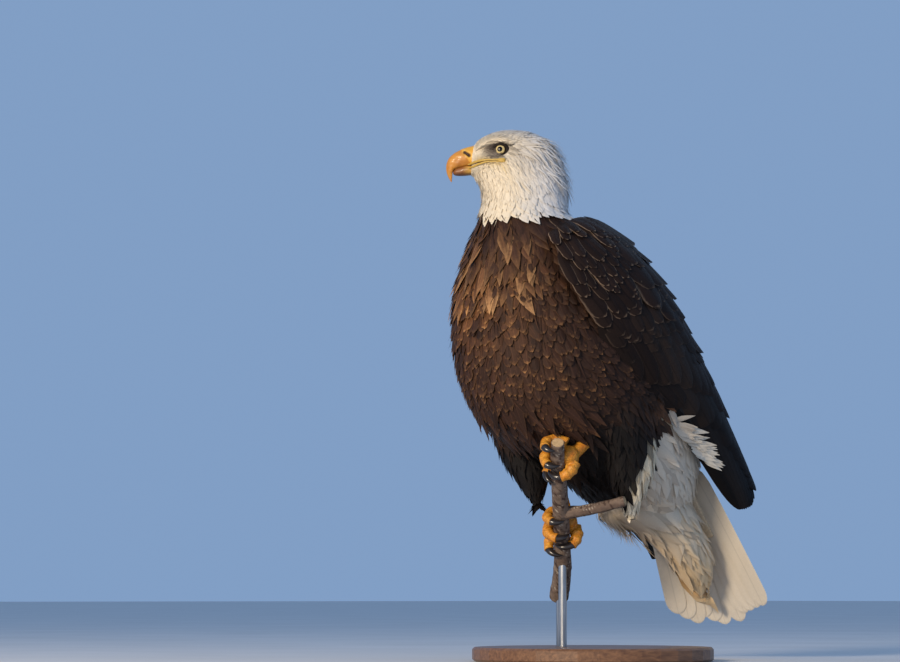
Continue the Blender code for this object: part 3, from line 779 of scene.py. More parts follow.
def coat_depth(t):
    """Depth of the coat on the body: 1 mm round the bill, 4 on the crown, 8 on the trunk, 6 at the tail root."""
    t = np.asarray(t, float)
    return 8.0 - 3.6 * smooth(10.5, 15, t) - 3.2 * smooth(17.0, 21.0, t) - 2.0 * smooth(3, 0, t)


def undertail_place(s, b):
    """The undertail's skin: its loft drawn in by the coat's depth, and by more along its lower right edge."""
    inset = 32.0 * bell(b, 0.85, 0.15) * smooth(0.5, 1.8, s) * smooth(4.4, 3.0, s) + 7.0 * smooth(3.4, 4.4, s)
    return body_point(s, b, -LIMB_INSET - inset, UNDERTAIL)


def body_skin_place(s, b):
    """The body's skin: its loft drawn in by the coat's depth, and a little more under the throat."""
    t = BODY_ROWS - np.asarray(s, float)
    return body_point(t, b, -coat_depth(t) - 2.0 * bell(b, 0.75, 0.13) * smooth(12, 15, t))


def wing_inset(s):
    """Depth of the coat on a wing, which thins out towards the tip."""
    return 6.5 * smooth(11.5, 7, s)


def wing_skin(side):
    return Skin(lambda s, b: wing_point(side, s, b, -wing_inset(s)), (0, 0, 400), 5.0, 0.5)


def thigh_skin(rows, inner, b_mid):
    return Skin(lambda s, b: limb_point(rows, s, b, -LIMB_INSET), inner, 2.0, b_mid)


BODY_SKIN = Skin(body_skin_place, (-20, 0, 480), 14.0, 0.75)
WING_SKINS = {side: wing_skin(side) for side in (-1, 1)}
THIGH_SKINS = {
    "left": thigh_skin(THIGH_LEFT, (45, -80, 350), 0.75),
    "right": thigh_skin(THIGH_RIGHT, (4, 78, 340), 0.25),
}
UNDERTAIL_SKIN = Skin(undertail_place, (190, 0, 180), 2.0, 0.75)
TAIL_BACK = Skin(tail_point, (0, 0, 0), 0.6, 0.0)
GRID_S, GRID_B = 161, 65  # samples along and across an area when its size is measured


def grow_roots(skin, s_range, b_range, pitch, gap, jitter, keep, seed):
    """Roots on lines of constant b, a pitch apart along each line by its arc length; every other line is set half
    a pitch on. Where lines crowd closer than the gap, roots are thinned by that share."""
    made = np.random.default_rng(seed)
    s = np.linspace(*s_range, GRID_S)
    grid = skin.place(np.repeat(s, GRID_B), np.tile(np.linspace(*b_range, GRID_B), GRID_S))
    girth = np.linalg.norm(np.diff(grid.reshape(GRID_S, GRID_B, 3), axis=1), axis=-1).sum(1).max()
    lines = max(2, int(round(girth / gap)))
    size = pitch(s) if callable(pitch) else np.full_like(s, float(pitch))
    whole = b_range[1] - b_range[0]
    found_s, found_b = [], []
    for k, line in enumerate(b_range[0] + whole * (np.arange(lines) + 0.5) / lines):
        path = skin.place(s, np.full_like(s, line))
        beside = skin.place(s, np.full_like(s, line + 0.5 * whole / lines))
        steps = np.linalg.norm(np.diff(path, axis=0), axis=1)
        count = np.concatenate([[0], np.cumsum(steps / ((size[1:] + size[:-1]) / 2))])
        wanted = np.arange(0.25 + 0.5 * (k % 2), count[-1], 1.0)
        at = np.interp(wanted + jitter * made.uniform(-0.5, 0.5, len(wanted)), count, s)
        spread = np.interp(at, s, 2 * np.linalg.norm(beside - path, axis=1))
        room = gap * np.interp(at, s, size) / np.max(size)
        kept = made.random(len(at)) < np.clip(spread / (0.8 * room), 0, 1)
        found_s.append(at[kept])
        found_b.append(line + jitter * (whole / lines) * made.uniform(-0.5, 0.5, int(kept.sum())))
    s, b = np.concatenate(found_s), np.concatenate(found_b)
    if keep is not None:
        kept = keep(s, b)
        s, b = s[kept], b[kept]
    return s, b


def wobble(count, size):
    return size * rng.normal(size=count)


# ---------------------------------------------------------------- skin


def skin_colours(p):
    """Markings of the skin at p: the same as the coat over it, white head, brown body, dark wings, cream rear."""
    x, y, z = axes(p)
    base = blend(body_colours(p)[0], wing_colours(p)[0], smooth(72, 80, np.abs(y)) * smooth(40, 80, x))
    under = smooth(72, 84, x) * smooth(262, 250, z) * smooth(60, 50, np.abs(y))
    return blend(blend(base, rear_colours(p)[0], under), head_colours(p), head_share(p))


def make_skin():
    """One skin: body, wings, thighs, undertail and tail lofts drawn in by the coat's depth, melted into one."""

    def grid(s_range, rows, b_range, columns):
        return np.meshgrid(np.linspace(*s_range, rows), np.linspace(*b_range, columns), indexing="ij")

    t, a = np.meshgrid(np.linspace(0, BODY_ROWS, 133), np.arange(72) / 72, indexing="ij")
    parts = [body_skin_place(BODY_ROWS - t, a)]
    s, q = grid((0.05, 10.4), 70, (0.03, 0.97), 24)
    depth, inset = curve(WING, s)[..., 7] * (4 * q * (1 - q)) ** 0.5, wing_inset(s)
    for side in (-1, 1):
        outer, inner = wing_point(side, s, q, -inset), wing_point(side, s, q, -np.maximum(depth - 4, inset + 4.5))
        parts.append(np.concatenate([outer, inner[:, ::-1]], 1))
    t, a = np.meshgrid(np.linspace(0, 5, 40), np.arange(40) / 40, indexing="ij")
    parts += [limb_point(rows, t, a, -LIMB_INSET) for rows in (THIGH_LEFT, THIGH_RIGHT)]
    parts.append(undertail_place(t, a))
    share, q = grid((0, 0.5), 24, (-0.5, 0.5), 24)
    parts.append(np.concatenate([tail_point(share, q, -0.8), tail_point(share, q, -5.0)[:, ::-1]], 1))
    return fused("skin", parts, 2.0, skin_colours, 3, 0.4)


# ---------------------------------------------------------------- coats


def coat(
    name, skin, roots, kind, length, width, paint, material, slot, *nodes, play=0.10, vary=0.10, curl=None, **form
):
    """One piece of coat, with a little play in the lie and size of each vane. Curl is its mean and its spread."""
    count = len(roots[0])
    if curl:
        form["curl"] = curl[0] + wobble(count, curl[1])
    lie = wobble(count, play)
    vary = np.exp(wobble(count, vary))
    form = {"turn": lie, **form}
    piece = feather_piece(name, skin, roots, kind, length * vary, width * vary, paint, **form)
    finish_piece(piece, material, slot, *nodes)


def grown(name, skin, area, kind, length, width, paint, material, slot, high=4.0, **form):
    """A piece of coat on roots grown over an area: s range, b range, pitch, gap, jitter, where, seed. Length, width
    and height may be functions of s and b."""
    roots = grow_roots(skin, *area)
    length, width, high = (size(*roots) if callable(size) else size for size in (length, width, high))
    coat(name, skin, roots, kind, length, width, paint, material, slot, high=high, **form)


def not_face(s, b):
    """True away from the eye's opening."""
    reach, _, z = head_local(BODY_SKIN.place(s, b))
    return np.hypot((reach - EYE_REACH) / 10.2, (z - 730.4) / 8.2) > 1.0


def make_head_coat():
    """Short close vanes on the face, longer ones on crown and cheeks."""
    paint, slot = painter(head_pair, 0.5, 0.04, 0.95), "white_feather"
    area = (0.25, 4.4), (0, 1), lambda s: 1.35 + 0.40 * s, 2.6, 0.5, not_face, 11
    grown(
        "coat_face", BODY_SKIN, area, "lance", lambda s, b: 5.0 + 1.5 * s, lambda s, b: 1.9 + 0.32 * s, paint, "white",
        slot, lambda s, b: 1.0 + 0.75 * s, rings=3, low=0.3, thick=0.12, crown=0.2,
    )
    area = (3.8, 8.0), (0, 1), lambda s: 1.2 + 0.55 * s, 4.4, 0.5, not_face, 12
    grown(
        "coat_crown", BODY_SKIN, area, "lance", lambda s, b: 2.5 + 3.1 * s, lambda s, b: 1.5 + 0.65 * s, paint, "white",
        slot, 3.8, low=0.3, thick=0.15, crown=0.2, play=0.09,
    )


def neck_edge(b):
    """How far down the body the white coat's roots reach at b: uneven lobes."""
    turn = 2 * np.pi * np.asarray(b)
    lobes = 0.12 * np.sin(5 * turn + 1) + 0.14 * np.sin(13 * turn) + 0.12 * np.sin(23 * turn + 2)
    return 9.85 - 0.8 * bell(b % 1.0, 0.81, 0.07) + 0.3 * bell(b % 1.0, 0.54, 0.06) + lobes


def nape(s, b):
    """True for a share of the roots, most of them at the back of the neck."""
    return bell(np.abs((b - 0.27 + 0.5) % 1.0 - 0.5), 0, 0.15) > rng.random(len(s))


def make_neck_coat():
    """Broad soft hackles that end in pointed lobes, and loose wisps over them and down the nape."""
    paint, slot = painter(head_pair, 0.5, 0.03, 0.97), "neck_feather"
    area = (6.8, 10.7), (0, 1), lambda s: 2.3 + 0.6 * (s - 4), 7.0, 0.6, lambda s, b: s < neck_edge(b), 13
    grown(
        "coat_neck", BODY_SKIN, area, "hackle", lambda s, b: 30 + 4.0 * (s - 7), lambda s, b: 9.0 + 3.2 * (s - 7),
        paint, "white", slot, lambda s, b: 3.4 + 1.0 * (s - 7), rings=6, columns=5, low=0.4, thick=0.22, play=0.08,
        crown=0.12, curl=(0, 0.6), rough=0.05, vary=0.16,
    )
    grown(
        "coat_neck_wisps", BODY_SKIN, ((5.4, 8.6), (0, 1), 6.0, 5.5, 1.0, not_face, 15), "wisp",
        lambda s, b: 16 + 2.2 * s, 2.4, paint, "white", slot, 5.6, rings=5, low=1.2, thick=0.15, play=0.22,
        curl=(0, 0.8), vary=0.25,
    )
    grown(
        "coat_nape", BODY_SKIN, ((5.0, 8.9), (0, 1), 5.0, 5.5, 0.8, nape, 14), "wisp", 33, 4.5, paint, "white", slot,
        10.0, rings=6, low=1.5, thick=0.2, play=0.2, curl=(3.0, 2.0), vary=0.2,
    )


def chest(s, b):
    return s > neck_edge(b) + 0.35


def not_vent(s, b):
    return vent_share(BODY_SKIN.place(s, b)) < 0.5


def back(s, b):
    return chest(s, b) & not_vent(s, b)


def vent(s, b):
    _, y, z = axes(BODY_SKIN.place(s, b))
    return ~not_vent(s, b) & ((y < 55) | (z < 275))


def clear_of_wing(s, b):
    """False on the undertail's drawn-in edge, where the right wing's tip shows past it."""
    return bell(b, 0.85, 0.15) * smooth(0.5, 1.8, s) < 0.4


def make_body_coat():
    """Long pointed vanes high on the breast, smaller scale-like ones below, and plainer ones on belly and back."""
    broad = {"rings": 7, "columns": 5}
    coats = [
        # name, area, kind, length, width, (colours, rim, tone), material, height, form
        (
            "breast_high", ((9.3, 12.8), (0.40, 1.10), 15.0, 14.0, 0.6, chest, 21), "lance", 54, 21,
            (body_colours, 1.0, 0.22), "breast", 7.6,
            dict(**broad, low=0.6, play=0.2, curl=(0, 1.5), vary=0.2, rough=0.07),
        ),
        (
            "breast_low", ((12.5, 17.2), (0.40, 1.10), 10.5, 10.5, 0.6, None, 22), "scale", 36, 16,
            (body_colours, 1.0, 0.17), "brown", 6.6,
            dict(**broad, low=0.6, play=0.2, curl=(0, 1.0), vary=0.16, rough=0.09),
        ),
        (
            "breast_gold", ((10.9, 13.1), (0.58, 0.86), 20.0, 19.0, 0.9, None, 27), "lance", 62, 20,
            (gold_colours, 1.0, 0.2), "breast", 9.6,
            dict(**broad, low=1.5, play=0.16, curl=(0, 1.5), vary=0.2, rough=0.07),
        ),
        (
            "breast_wisps", ((9.9, 17.6), (0.42, 1.08), 13.0, 13.0, 1.0, chest, 25), "wisp", 34, 3.2,
            (body_colours, 0.8, 0.25), "brown", 8.2,
            dict(rings=5, low=1.5, thick=0.2, play=0.3, curl=(0, 1.5), vary=0.25),
        ),
        (
            "belly", ((17.0, 21.6), (0.42, 1.08), 11.5, 11.5, 0.5, not_vent, 23), "lance", 40, 16,
            (body_colours, 0.6, 0.15), "brown", 7.5, dict(rings=5, low=0.8, play=0.25, curl=(0, 1.2), rough=0.06),
        ),
        (
            "breast_hem", ((15.4, 17.8), (0.60, 0.90), 19.0, 19.0, 0.8, None, 26), "lance", 62, 17,
            (body_colours, 0.8, 0.2), "brown", 13.0,
            dict(**broad, low=1.5, play=0.22, curl=(2.5, 2.5), vary=0.2, rough=0.05, power=1.8),
        ),
        (
            "back", ((9.6, 21.6), (0.02, 0.48), 15.0, 14.0, 0.4, back, 24), "scale", 44, 22,
            (wing_colours, 0.8, 0.12), "covert", 7.5, dict(rings=5, columns=5, low=0.8, thick=0.35),
        ),
    ]
    for name, area, kind, length, width, paint, material, high, form in coats:
        paint = painter(*paint)
        grown("coat_" + name, BODY_SKIN, area, kind, length, width, paint, material, "brown_feather", high, **form)


def make_vent_coat():
    """Long loose white vanes behind the thighs, under the tail, over the wing's edge, and a hanging soft tuft."""
    paint, slot = painter(rear_colours, 0.5, 0.06), "undertail_feather"
    form = dict(columns=5, low=1.0, thick=0.35, curl=(0, 2.0), vary=0.2, rough=0.05)
    area = (17.5, 21.8), (0.0, 1.0), 13, 13, 0.5, vent, 43
    grown("coat_vent", BODY_SKIN, area, "lance", 58, 22, paint, "white", slot, 8.0, rings=7, play=0.28, **form)
    area = (0.0, 3.5), (0.35, 1.15), 13, 13, 0.6, clear_of_wing, 42
    grown("coat_undertail", UNDERTAIL_SKIN, area, "lance", 66, 20, paint, "white", slot, 8.0, rings=8, play=0.2, **form)
    count = 60
    roots = np.linspace(7.15, 8.35, count), -0.09 + wobble(count, 0.05)
    coat(
        "coat_flank_white", WING_SKINS[-1], roots, "lance", 44, 9, paint, "white", slot, rings=7, low=0.5, high=5.5,
        thick=0.25, turn=0.52 + np.clip(wobble(count, 0.22), -0.2, 0.4), curl=(0, 1.0), vary=0.15,
    )
    count = 120
    roots = rng.uniform(0.0, 0.6, count), rng.uniform(0.72, 0.96, count)
    coat(
        "coat_tuft", UNDERTAIL_SKIN, roots, "wisp", 54, 6, paint, "white", slot, rings=8, low=1.0, high=24.0,
        thick=0.25, play=0.35, curl=(0, 4.0), vary=0.35, power=1.6,
    )


def make_wing_coat(side, label):
    """Coverts in three sizes, long shoulder feathers, then secondaries over primaries."""
    skin, slot = WING_SKINS[side], "wing_feather"
    front = 0.0 if side < 0 else 0.07
    covert, plain = painter(wing_colours, 1.0, 0.10), painter(wing_colours, 0.7, 0.10)
    grown(
        "coat_wing_small_" + label, skin, ((0.0, 2.7), (front, 0.62), 15.0, 15.5, 0.35, None, 31), "round",
        lambda s, b: 44 + 6 * s, lambda s, b: 16 + 14 * b, covert, "covert", slot, 6.5, rings=6, columns=5, low=0.8,
        thick=0.35, rough=0.03,
    )
    form = dict(columns=7, thick=0.45, rough=0.02)
    grown(
        "coat_shoulder_" + label, skin, ((0.0, 4.2), (0.46, 0.93), 27.0, 25.0, 0.3, None, 32), "round", 84, 42, plain,
        "covert", slot, 9.5, rings=9, low=2.0, play=0.18, vary=0.16, curl=(0, 1.8), **form,
    )
    grown(
        "coat_wing_middle_" + label, skin, ((2.5, 4.2), (front + 0.01, 0.7), 20.0, 21.0, 0.3, None, 33), "round", 70,
        32, plain, "covert", slot, 6.5, rings=8, low=0.8, play=0.07, **form,
    )
    b = np.linspace(0.02 + front, 0.94, 12)
    coat(
        "coat_wing_great_" + label, skin, (3.8 + 0.8 * b, b), "round", 122 + 30 * b, 38, plain, "flight", slot,
        rings=12, columns=7, low=1.5, high=7.0, thick=0.5, turn=0.0, vary=0.03, tilt=0.12,
    )
    form = dict(columns=7, thick=0.6, turn=0.0, bunch=1.5)
    b = np.linspace(0.03 + front, 0.96, 13)
    coat(
        "secondaries_" + label, skin, (4.6 + 1.5 * b, b), "flight", 120 + 54 * b, 36, plain, "flight", slot, rings=14,
        low=0.6, high=3.0 + 4.0 * b, vary=0.06, tilt=0.10, **form,
    )
    b = np.linspace(0.08, 0.90, 9)
    coat(
        "primaries_" + label, skin, (6.0 + 0.4 * b, b), "primary", (0.98 - 0.08 * b) * (292 - 122 * b), 28, plain,
        "flight", slot, rings=16, low=0.0, high=0.6 + 3.0 * b, vary=0.003, power=1.0, tilt=0.08, **form,
    )


def make_tail_coat():
    """Twelve tail feathers, the middle pair on top, and their covering feathers above."""
    paint, slot = painter(rear_colours, 0.5, 0.04), "tail_feather"
    b = np.linspace(-0.86, 0.86, 12)
    length = 0.95 * tail_axes()[4] - TAIL_CORNER * b**2 + wobble(12, 2.0)
    lift = 4.5 - 7.5 * np.abs(b)
    coat(
        "tail_feathers", TAIL_BACK, (0.05 + 0 * b, b), "flight", length, 33, paint, "tail", slot, "tail", rings=20,
        columns=9, low=lift, high=lift, thick=0.7, turn=0.0, vary=0.01, bunch=1.6, power=1.0, crown=0.05,
    )
    grown(
        "coat_tail_top", TAIL_BACK, ((0.0, 0.26), (-0.72, 0.72), 16, 16, 0.4, None, 41), "round", 62, 26, paint,
        "white", slot, 8.0, rings=6, columns=5, low=4.0, thick=0.5, play=0.12,
    )


def make_thigh_coats():
    for label, skin in THIGH_SKINS.items():
        grown(
            "coat_thigh_" + label, skin, ((0.1, 4.9), (0, 1), 11.5, 11.0, 0.4, None, 51), "lance", 40, 15,
            painter(body_colours, 0.5, 0.15), "brown", "thigh_feather", 7.0, rings=5, low=0.8, thick=0.35, play=0.15,
            curl=(0, 1.2),
        )


# ---------------------------------------------------------------- tubes along a path


def path_rings(path, radius, steps, sides, second=None, side_axis=(0, 1, 0), relief=None):
    """Rings round a smooth path; relief(share, turn) in mm is added to the radius."""
    t = np.linspace(0, len(path) - 1, steps)
    centre = curve(path, t)
    heading = unit(np.gradient(centre, axis=0))
    side_axis = np.asarray(side_axis, float)
    side = unit(side_axis - heading * (heading @ side_axis)[:, None])
    other = np.cross(heading, side)
    first = curve(np.asarray(radius, float)[:, None], t)
    second = first if second is None else curve(np.asarray(second, float)[:, None], t)
    a = 2 * np.pi * np.arange(sides) / sides
    push = 0.0 if relief is None else relief(t[:, None] / (len(path) - 1), a[None, :])
    c, s = (second + push) * np.cos(a)[None, :], (first + push) * np.sin(a)[None, :]
    return centre[:, None, :] + side[:, None, :] * c[..., None] + other[:, None, :] * s[..., None]


# ---------------------------------------------------------------- eyes and bill

HEAD_GRID = body_point(*np.meshgrid(np.linspace(13, 22, 240), np.linspace(0.27, 0.73, 240), indexing="ij"), -1.5)


def head_side(reach, z):
    """How far out the left cheek's surface lies at each reach and height of the head."""
    r, side, height = (v.ravel() for v in head_local(HEAD_GRID))
    gap = (np.asarray(reach, float).ravel()[:, None] - r) ** 2 + (np.asarray(z, float).ravel()[:, None] - height) ** 2
    near = np.argsort(gap, axis=1)[:, :4]
    weight = 1 / (np.take_along_axis(gap, near, 1) + 0.01)
    return ((side[near] * weight).sum(1) / weight.sum(1)).reshape(np.shape(reach))


EYE_REACH, EYE_SIDE, EYE_Z, EYE_RADIUS = 31.2, 26.5, 729.2, 10.0
EYE_SIDES, LID_SIDES = 96, 14
PUPIL, EYE_BLACK = tint(8, 8, 10), tint(26, 22, 20)


def eye_parts(label, sign):
    """Eyeball as rings about the eye's axis, painted by distance from it, inside a ring of dark lid skin."""
    centre = head_place(EYE_REACH, sign * EYE_SIDE, EYE_Z)
    axis = unit(head_place(0.20, sign * 1.0, 0.04) - head_place(0, 0, 0))
    upward = unit(np.array([0, 0, 1.0]) - axis * axis[2])
    forward = np.cross(upward, axis) * sign
    theta = np.linspace(0.0, math.pi, 90)[1:-1]
    turn = 2 * np.pi * np.arange(EYE_SIDES) / EYE_SIDES
    bulge = EYE_RADIUS + 0.7 * bell(theta, 0, 0.55)
    ring = np.cos(turn)[None, :, None] * forward + np.sin(turn)[None, :, None] * upward
    points = centre + bulge[:, None, None] * (np.cos(theta)[:, None, None] * axis + np.sin(theta)[:, None, None] * ring)
    out = (EYE_RADIUS * np.sin(theta))[:, None] + 0 * turn[None, :]
    out = np.where(theta[:, None] > 1.4, EYE_RADIUS, out)
    streak = 0.5 + 0.5 * np.sin(turn * 37)[None, :] * np.sin(turn * 13 + 1)[None, :]
    iris = blend(tint(214, 196, 142), tint(186, 160, 98), streak * 0.6 + 0 * out)
    iris = blend(iris, tint(136, 110, 60), smooth(5.6, 6.7, out))
    colour = blend(PUPIL + 0 * iris, iris, smooth(3.5, 3.75, out))
    colour = blend(colour, EYE_BLACK, smooth(6.5, 6.9, out))
    ends = [centre + axis * (EYE_RADIUS + 0.7), centre - axis * EYE_RADIUS]
    paint = np.concatenate([colour.reshape(-1, 3), [PUPIL, EYE_BLACK]])
    finish_piece(tube("eye_" + label, points, paint, ends), "eye", "eye_glass", "eye_" + label)
    across = np.where(np.cos(turn) > 0, 8.3, 7.8)
    tall = np.where(np.sin(turn) > 0, 5.7, 7.2)
    plump = 0.55 + 0.6 * smooth(-0.7, 0.2, np.sin(turn))[:, None]
    rim = centre + forward * (across * np.cos(turn))[:, None] + upward * (tall * np.sin(turn))[:, None]
    height = np.sqrt(np.maximum(EYE_RADIUS**2 - (across * np.cos(turn)) ** 2 - (tall * np.sin(turn)) ** 2, 4))
    rim = rim + axis * (height + 0.2)[:, None]
    outward = unit(rim - centre - axis * ((rim - centre) @ axis)[:, None])
    lap = 2 * np.pi * np.arange(LID_SIDES) / LID_SIDES
    wrinkle = plump * (1 + 0.05 * np.sin(turn * 31)[:, None])
    tube_points = (
        rim[:, None, :]
        + outward[:, None, :] * (2.1 * (np.cos(lap) + 0.85) * wrinkle)[..., None]
        + axis * (1.5 * np.sin(lap) * wrinkle)[..., None]
    )
    index = np.arange(EYE_SIDES * LID_SIDES).reshape(EYE_SIDES, LID_SIDES)
    right, down = np.roll(index, -1, 0), np.roll(index, -1, 1)
    both = np.roll(right, -1, 1)
    triangles = np.concatenate([np.stack([index, right, both], -1), np.stack([index, both, down], -1)]).reshape(-1, 3)
    a, b, c = (tube_points.reshape(-1, 3)[triangles[0][k]] for k in range(3))
    if np.cross(b - a, c - a) @ (a - rim[0] - outward[0] * 1.3) < 0:
        triangles = triangles[:, ::-1]
    paint = np.broadcast_to(tint(30, 24, 21), (EYE_SIDES * LID_SIDES, 3))
    finish_piece(mesh_object("lid_" + label, tube_points, triangles, colours=paint), "lid", None)


def one_colour(rings, colour):
    """The same colour for every point of a tube and its two ends."""
    return np.tile(colour, (rings.shape[0] * rings.shape[1] + 2, 1))


# ---- bill: rows of (top reach, top z, underside reach, underside z, half width) ----
UPPER_BILL = [
    (71.8, 739.2, 75.2, 710.2, 15.2),
    (80, 737, 82, 709.2, 14.6),
    (89.5, 733.8, 89, 707.8, 13.4),
    (98.5, 729, 94.6, 706.2, 11.8),
    (105.6, 722.4, 98.6, 704.8, 9.8),
    (109.4, 713.8, 100.4, 701, 7.6),
    (109.9, 704.8, 101, 697, 5.4),
    (107.8, 696.4, 101.4, 692.2, 3.2),
    (103.2, 687.6, 101.9, 687.2, 0.8),
]
LOWER_BILL = [
    (75.6, 711, 76.4, 697.2, 12.4),
    (83.5, 710.2, 84.5, 696.4, 10.8),
    (90.5, 708.6, 91.5, 696.2, 8.6),
    (96.2, 706.6, 96.8, 696.8, 6.2),
    (99.8, 703.6, 99.9, 699.0, 3.0),
]


# ---- gape, from the bill's root back to under the eye: reach, z, how far it stands out, radius ----
GAPE = np.array(
    [
        [79, 75, 70, 63, 54, 46, 37, 31, 27.5, 25.5],
        [708.6, 709.2, 709.9, 711.2, 712.4, 712.6, 712.4, 712.2, 712.1, 712],
        [-0.4, 0, 0.6, 0.9, 1.0, 1.0, 1.0, 0.9, 0.3, -1.0],
        [0.4, 1.1, 1.6, 1.5, 1.3, 1.2, 1.3, 1.9, 1.9, 1.0],
    ]
)
NOSTRIL = np.array([[83.4, 728.2], [76.8, 723.6]])  # the slot's two ends as reach and height


def nostril_share(reach, z, width):
    """1 on the nostril's line and 0 a width away from it."""
    a, run = NOSTRIL[0], NOSTRIL[1] - NOSTRIL[0]
    along = np.clip(((reach - a[0]) * run[0] + (z - a[1]) * run[1]) / (run @ run), 0, 1)
    return bell(np.hypot(reach - a[0] - along * run[0], z - a[1] - along * run[1]), 0, width)


def cere_share(reach, z):
    """1 on the soft cere at the bill's root, 0 on the horn, parted by a line that slants back as it falls."""
    return smooth(1.2, -1.2, reach - (88.5 - 0.66 * (733 - z)))


def bill_piece(name, rows, steps, sides, start, upper):
    """Half of the bill: superellipse rings along the rows, a raised cere and a sunk, slanted nostril."""
    row = curve(rows, np.linspace(start, len(rows) - 1, steps))[:, None, :]
    a = 2 * np.pi * np.arange(sides)[None, :] / sides
    across, along = np.cos(a), np.sin(a)
    edge = along < 0 if upper else along > 0
    across = np.sign(across) * np.abs(across) ** np.where(edge, 0.5, 0.92)
    reach = (row[..., 0] + row[..., 2]) / 2 + (row[..., 0] - row[..., 2]) / 2 * along
    z = (row[..., 1] + row[..., 3]) / 2 + (row[..., 1] - row[..., 3]) / 2 * along
    side = row[..., 4] * across + 0 * reach
    away = smooth(1.5, 5, np.abs(side))
    cere = cere_share(reach, z) * upper
    nostril = nostril_share(reach, z, 2.1) * upper
    push = 0.7 * cere - 3.0 * nostril * away + 0.25 * noise(np.stack([reach, side, z], -1), 9, 8)
    side = side + np.sign(side) * push
    z = z + 0.5 * cere * (along > 0)
    hook = smooth(101, 108, reach) * smooth(712, 690, z)
    horn = blend(tint(198, 136, 50) + 0 * side[..., None], tint(208, 164, 84), hook)
    horn = blend(horn, tint(176, 114, 44), 0.5 + 0.4 * noise(np.stack([reach, side, z * 0.5], -1), 14, 9))
    colour = blend(horn, tint(214, 160, 56), cere)
    # lower half: yellow at its root, browner towards the front and dark along its bottom, painted shade under the upper
    # half
    lower = blend(tint(184, 142, 66), tint(128, 80, 38), smooth(76, 88, reach))
    colour = blend(colour, blend(lower, tint(84, 52, 30), 0.7 * smooth(701, 697.5, z)), 1 - upper + 0 * reach)
    # painted shade along the upper half's lower edge, behind the hook
    colour = blend(colour, tint(150, 96, 42), 0.5 * upper * smooth(712, 706, z) * smooth(100, 94, reach))
    rim = bell(nostril_share(reach, z, 3.6), 0.5, 0.25) * upper * away
    colour = blend(colour, tint(236, 190, 92), 0.5 * rim)
    # the nostril's slot painted near black: painted shade inside the open hole
    colour = blend(colour, tint(44, 16, 12), np.clip(nostril * 1.5, 0, 1) * away)
    points = head_place(reach, side, z)
    ends = [head_place(*(np.array([v[k].mean()]) for v in (reach, side * 0, z)))[0] for k in (0, -1)]
    paint = np.concatenate([colour.reshape(-1, 3), colour[0].mean(0)[None], colour[-1].mean(0)[None]])
    finish_piece(tube(name, points, paint, ends), "bill", "bill_horn", name)


def make_bill():
    """Both halves of the bill, the fleshy gape along each cheek, and a thin dark tube of painted shade in the line
    between its lips.
    """
    bill_piece("bill_upper", UPPER_BILL, 110, 96, -0.55, 1.0)
    bill_piece("bill_lower", LOWER_BILL, 60, 64, -0.4, 0.0)
    reach, height, proud, radius = GAPE
    out = np.maximum(head_side(reach, height), 13.2) + proud
    front = smooth(45, 75, reach)
    for label, sign in (("left", 1), ("right", -1)):
        for name, drop, thin in (("gape_upper_", 1.2 + 0.9 * front, 1.0), ("gape_lower_", -1.2 - 2.2 * front, 0.85)):
            path = head_place(reach, sign * out, height + drop)
            size = radius * (thin + 0.35 * front)
            rings = path_rings(path, size, 70, 16, relief=lambda u, a: 0.12 * np.sin(u * 60 + a))
            finish_piece(tube(name + label, rings, one_colour(rings, tint(190, 156, 74))), "bill", "bill_horn")
        # a thin dark tube along the crack between the lips: painted shade
        path = head_place(reach + 0.3, sign * (out + 0.35), height - 0.15)
        rings = path_rings(path, radius * 0.36, 60, 10)
        finish_piece(tube("gape_shade_line_" + label, rings, one_colour(rings, tint(60, 40, 26))), "lid", None)


# ---------------------------------------------------------------- feet and perch

# grip on the branch, lean of the foot round it in degrees, and ankle
GRIPS = {"left": ((-58, -58, 283), -62.0, (18, -70, 338)), "right": ((20, 20, 186), -28.0, (30, 60, 296))}
# ---- perch and stub: rows of (x, y, z, radius) ----
PERCH = [
    (76, 88, 92, 14.5),
    (54, 56, 134, 13.6),
    (20, 20, 186, 12.2),
    (-18, -18, 236, 11.4),
    (-58, -58, 283, 10.6),
    (-78, -80, 308, 9.6),
]
STUB = [(0, 0, 212, 9.5), (26, -40, 218, 8.2), (50, -82, 229, 7.4)]
# ---- toes: name, first and last angle round the branch, offset and drift along it, radius, arc of the talon ----
TOES = [
    ("hallux", -26, -104, -6, -7, 9.8, 96),
    ("inner_toe", 24, 132, -20, -11, 9.2, 82),
    ("middle_toe", 26, 190, 1, 4, 9.0, 70),
    ("outer_toe", 24, 166, 20, 14, 8.6, 66),
]
PAD_RADIUS, TALON_RADIUS = 13.0, 5.6


def branch_frame(grip):
    """Axis of the branch at a grip, its upward side, its side towards the toes, and its radius."""
    rows = np.array(PERCH, float)[:, :3]
    near = int(np.argmin(np.linalg.norm(rows - np.array(grip, float), axis=1)))
    axis = unit(rows[near + 1] - rows[near - 1])
    top = unit(np.array([0, 0, 1.0]) - axis * axis[2])
    return axis, top, np.cross(axis, top), float(np.array(PERCH)[near, 3])


def toe_path(grip, lean, first, last, offset, drift, lift_first, lift_last, steps):
    """Points round the branch from angle first to angle last, which drift along it as they go."""
    axis, top, front, wood = branch_frame(grip)
    share = np.linspace(0, 1, steps)[:, None]
    angle = np.radians(lean + first + (last - first) * share)
    lift = wood + lift_first + (lift_last - lift_first) * share
    across = (top * np.cos(angle) + front * np.sin(angle)) * lift
    return np.array(grip, float) + axis * (offset + drift * share) + across


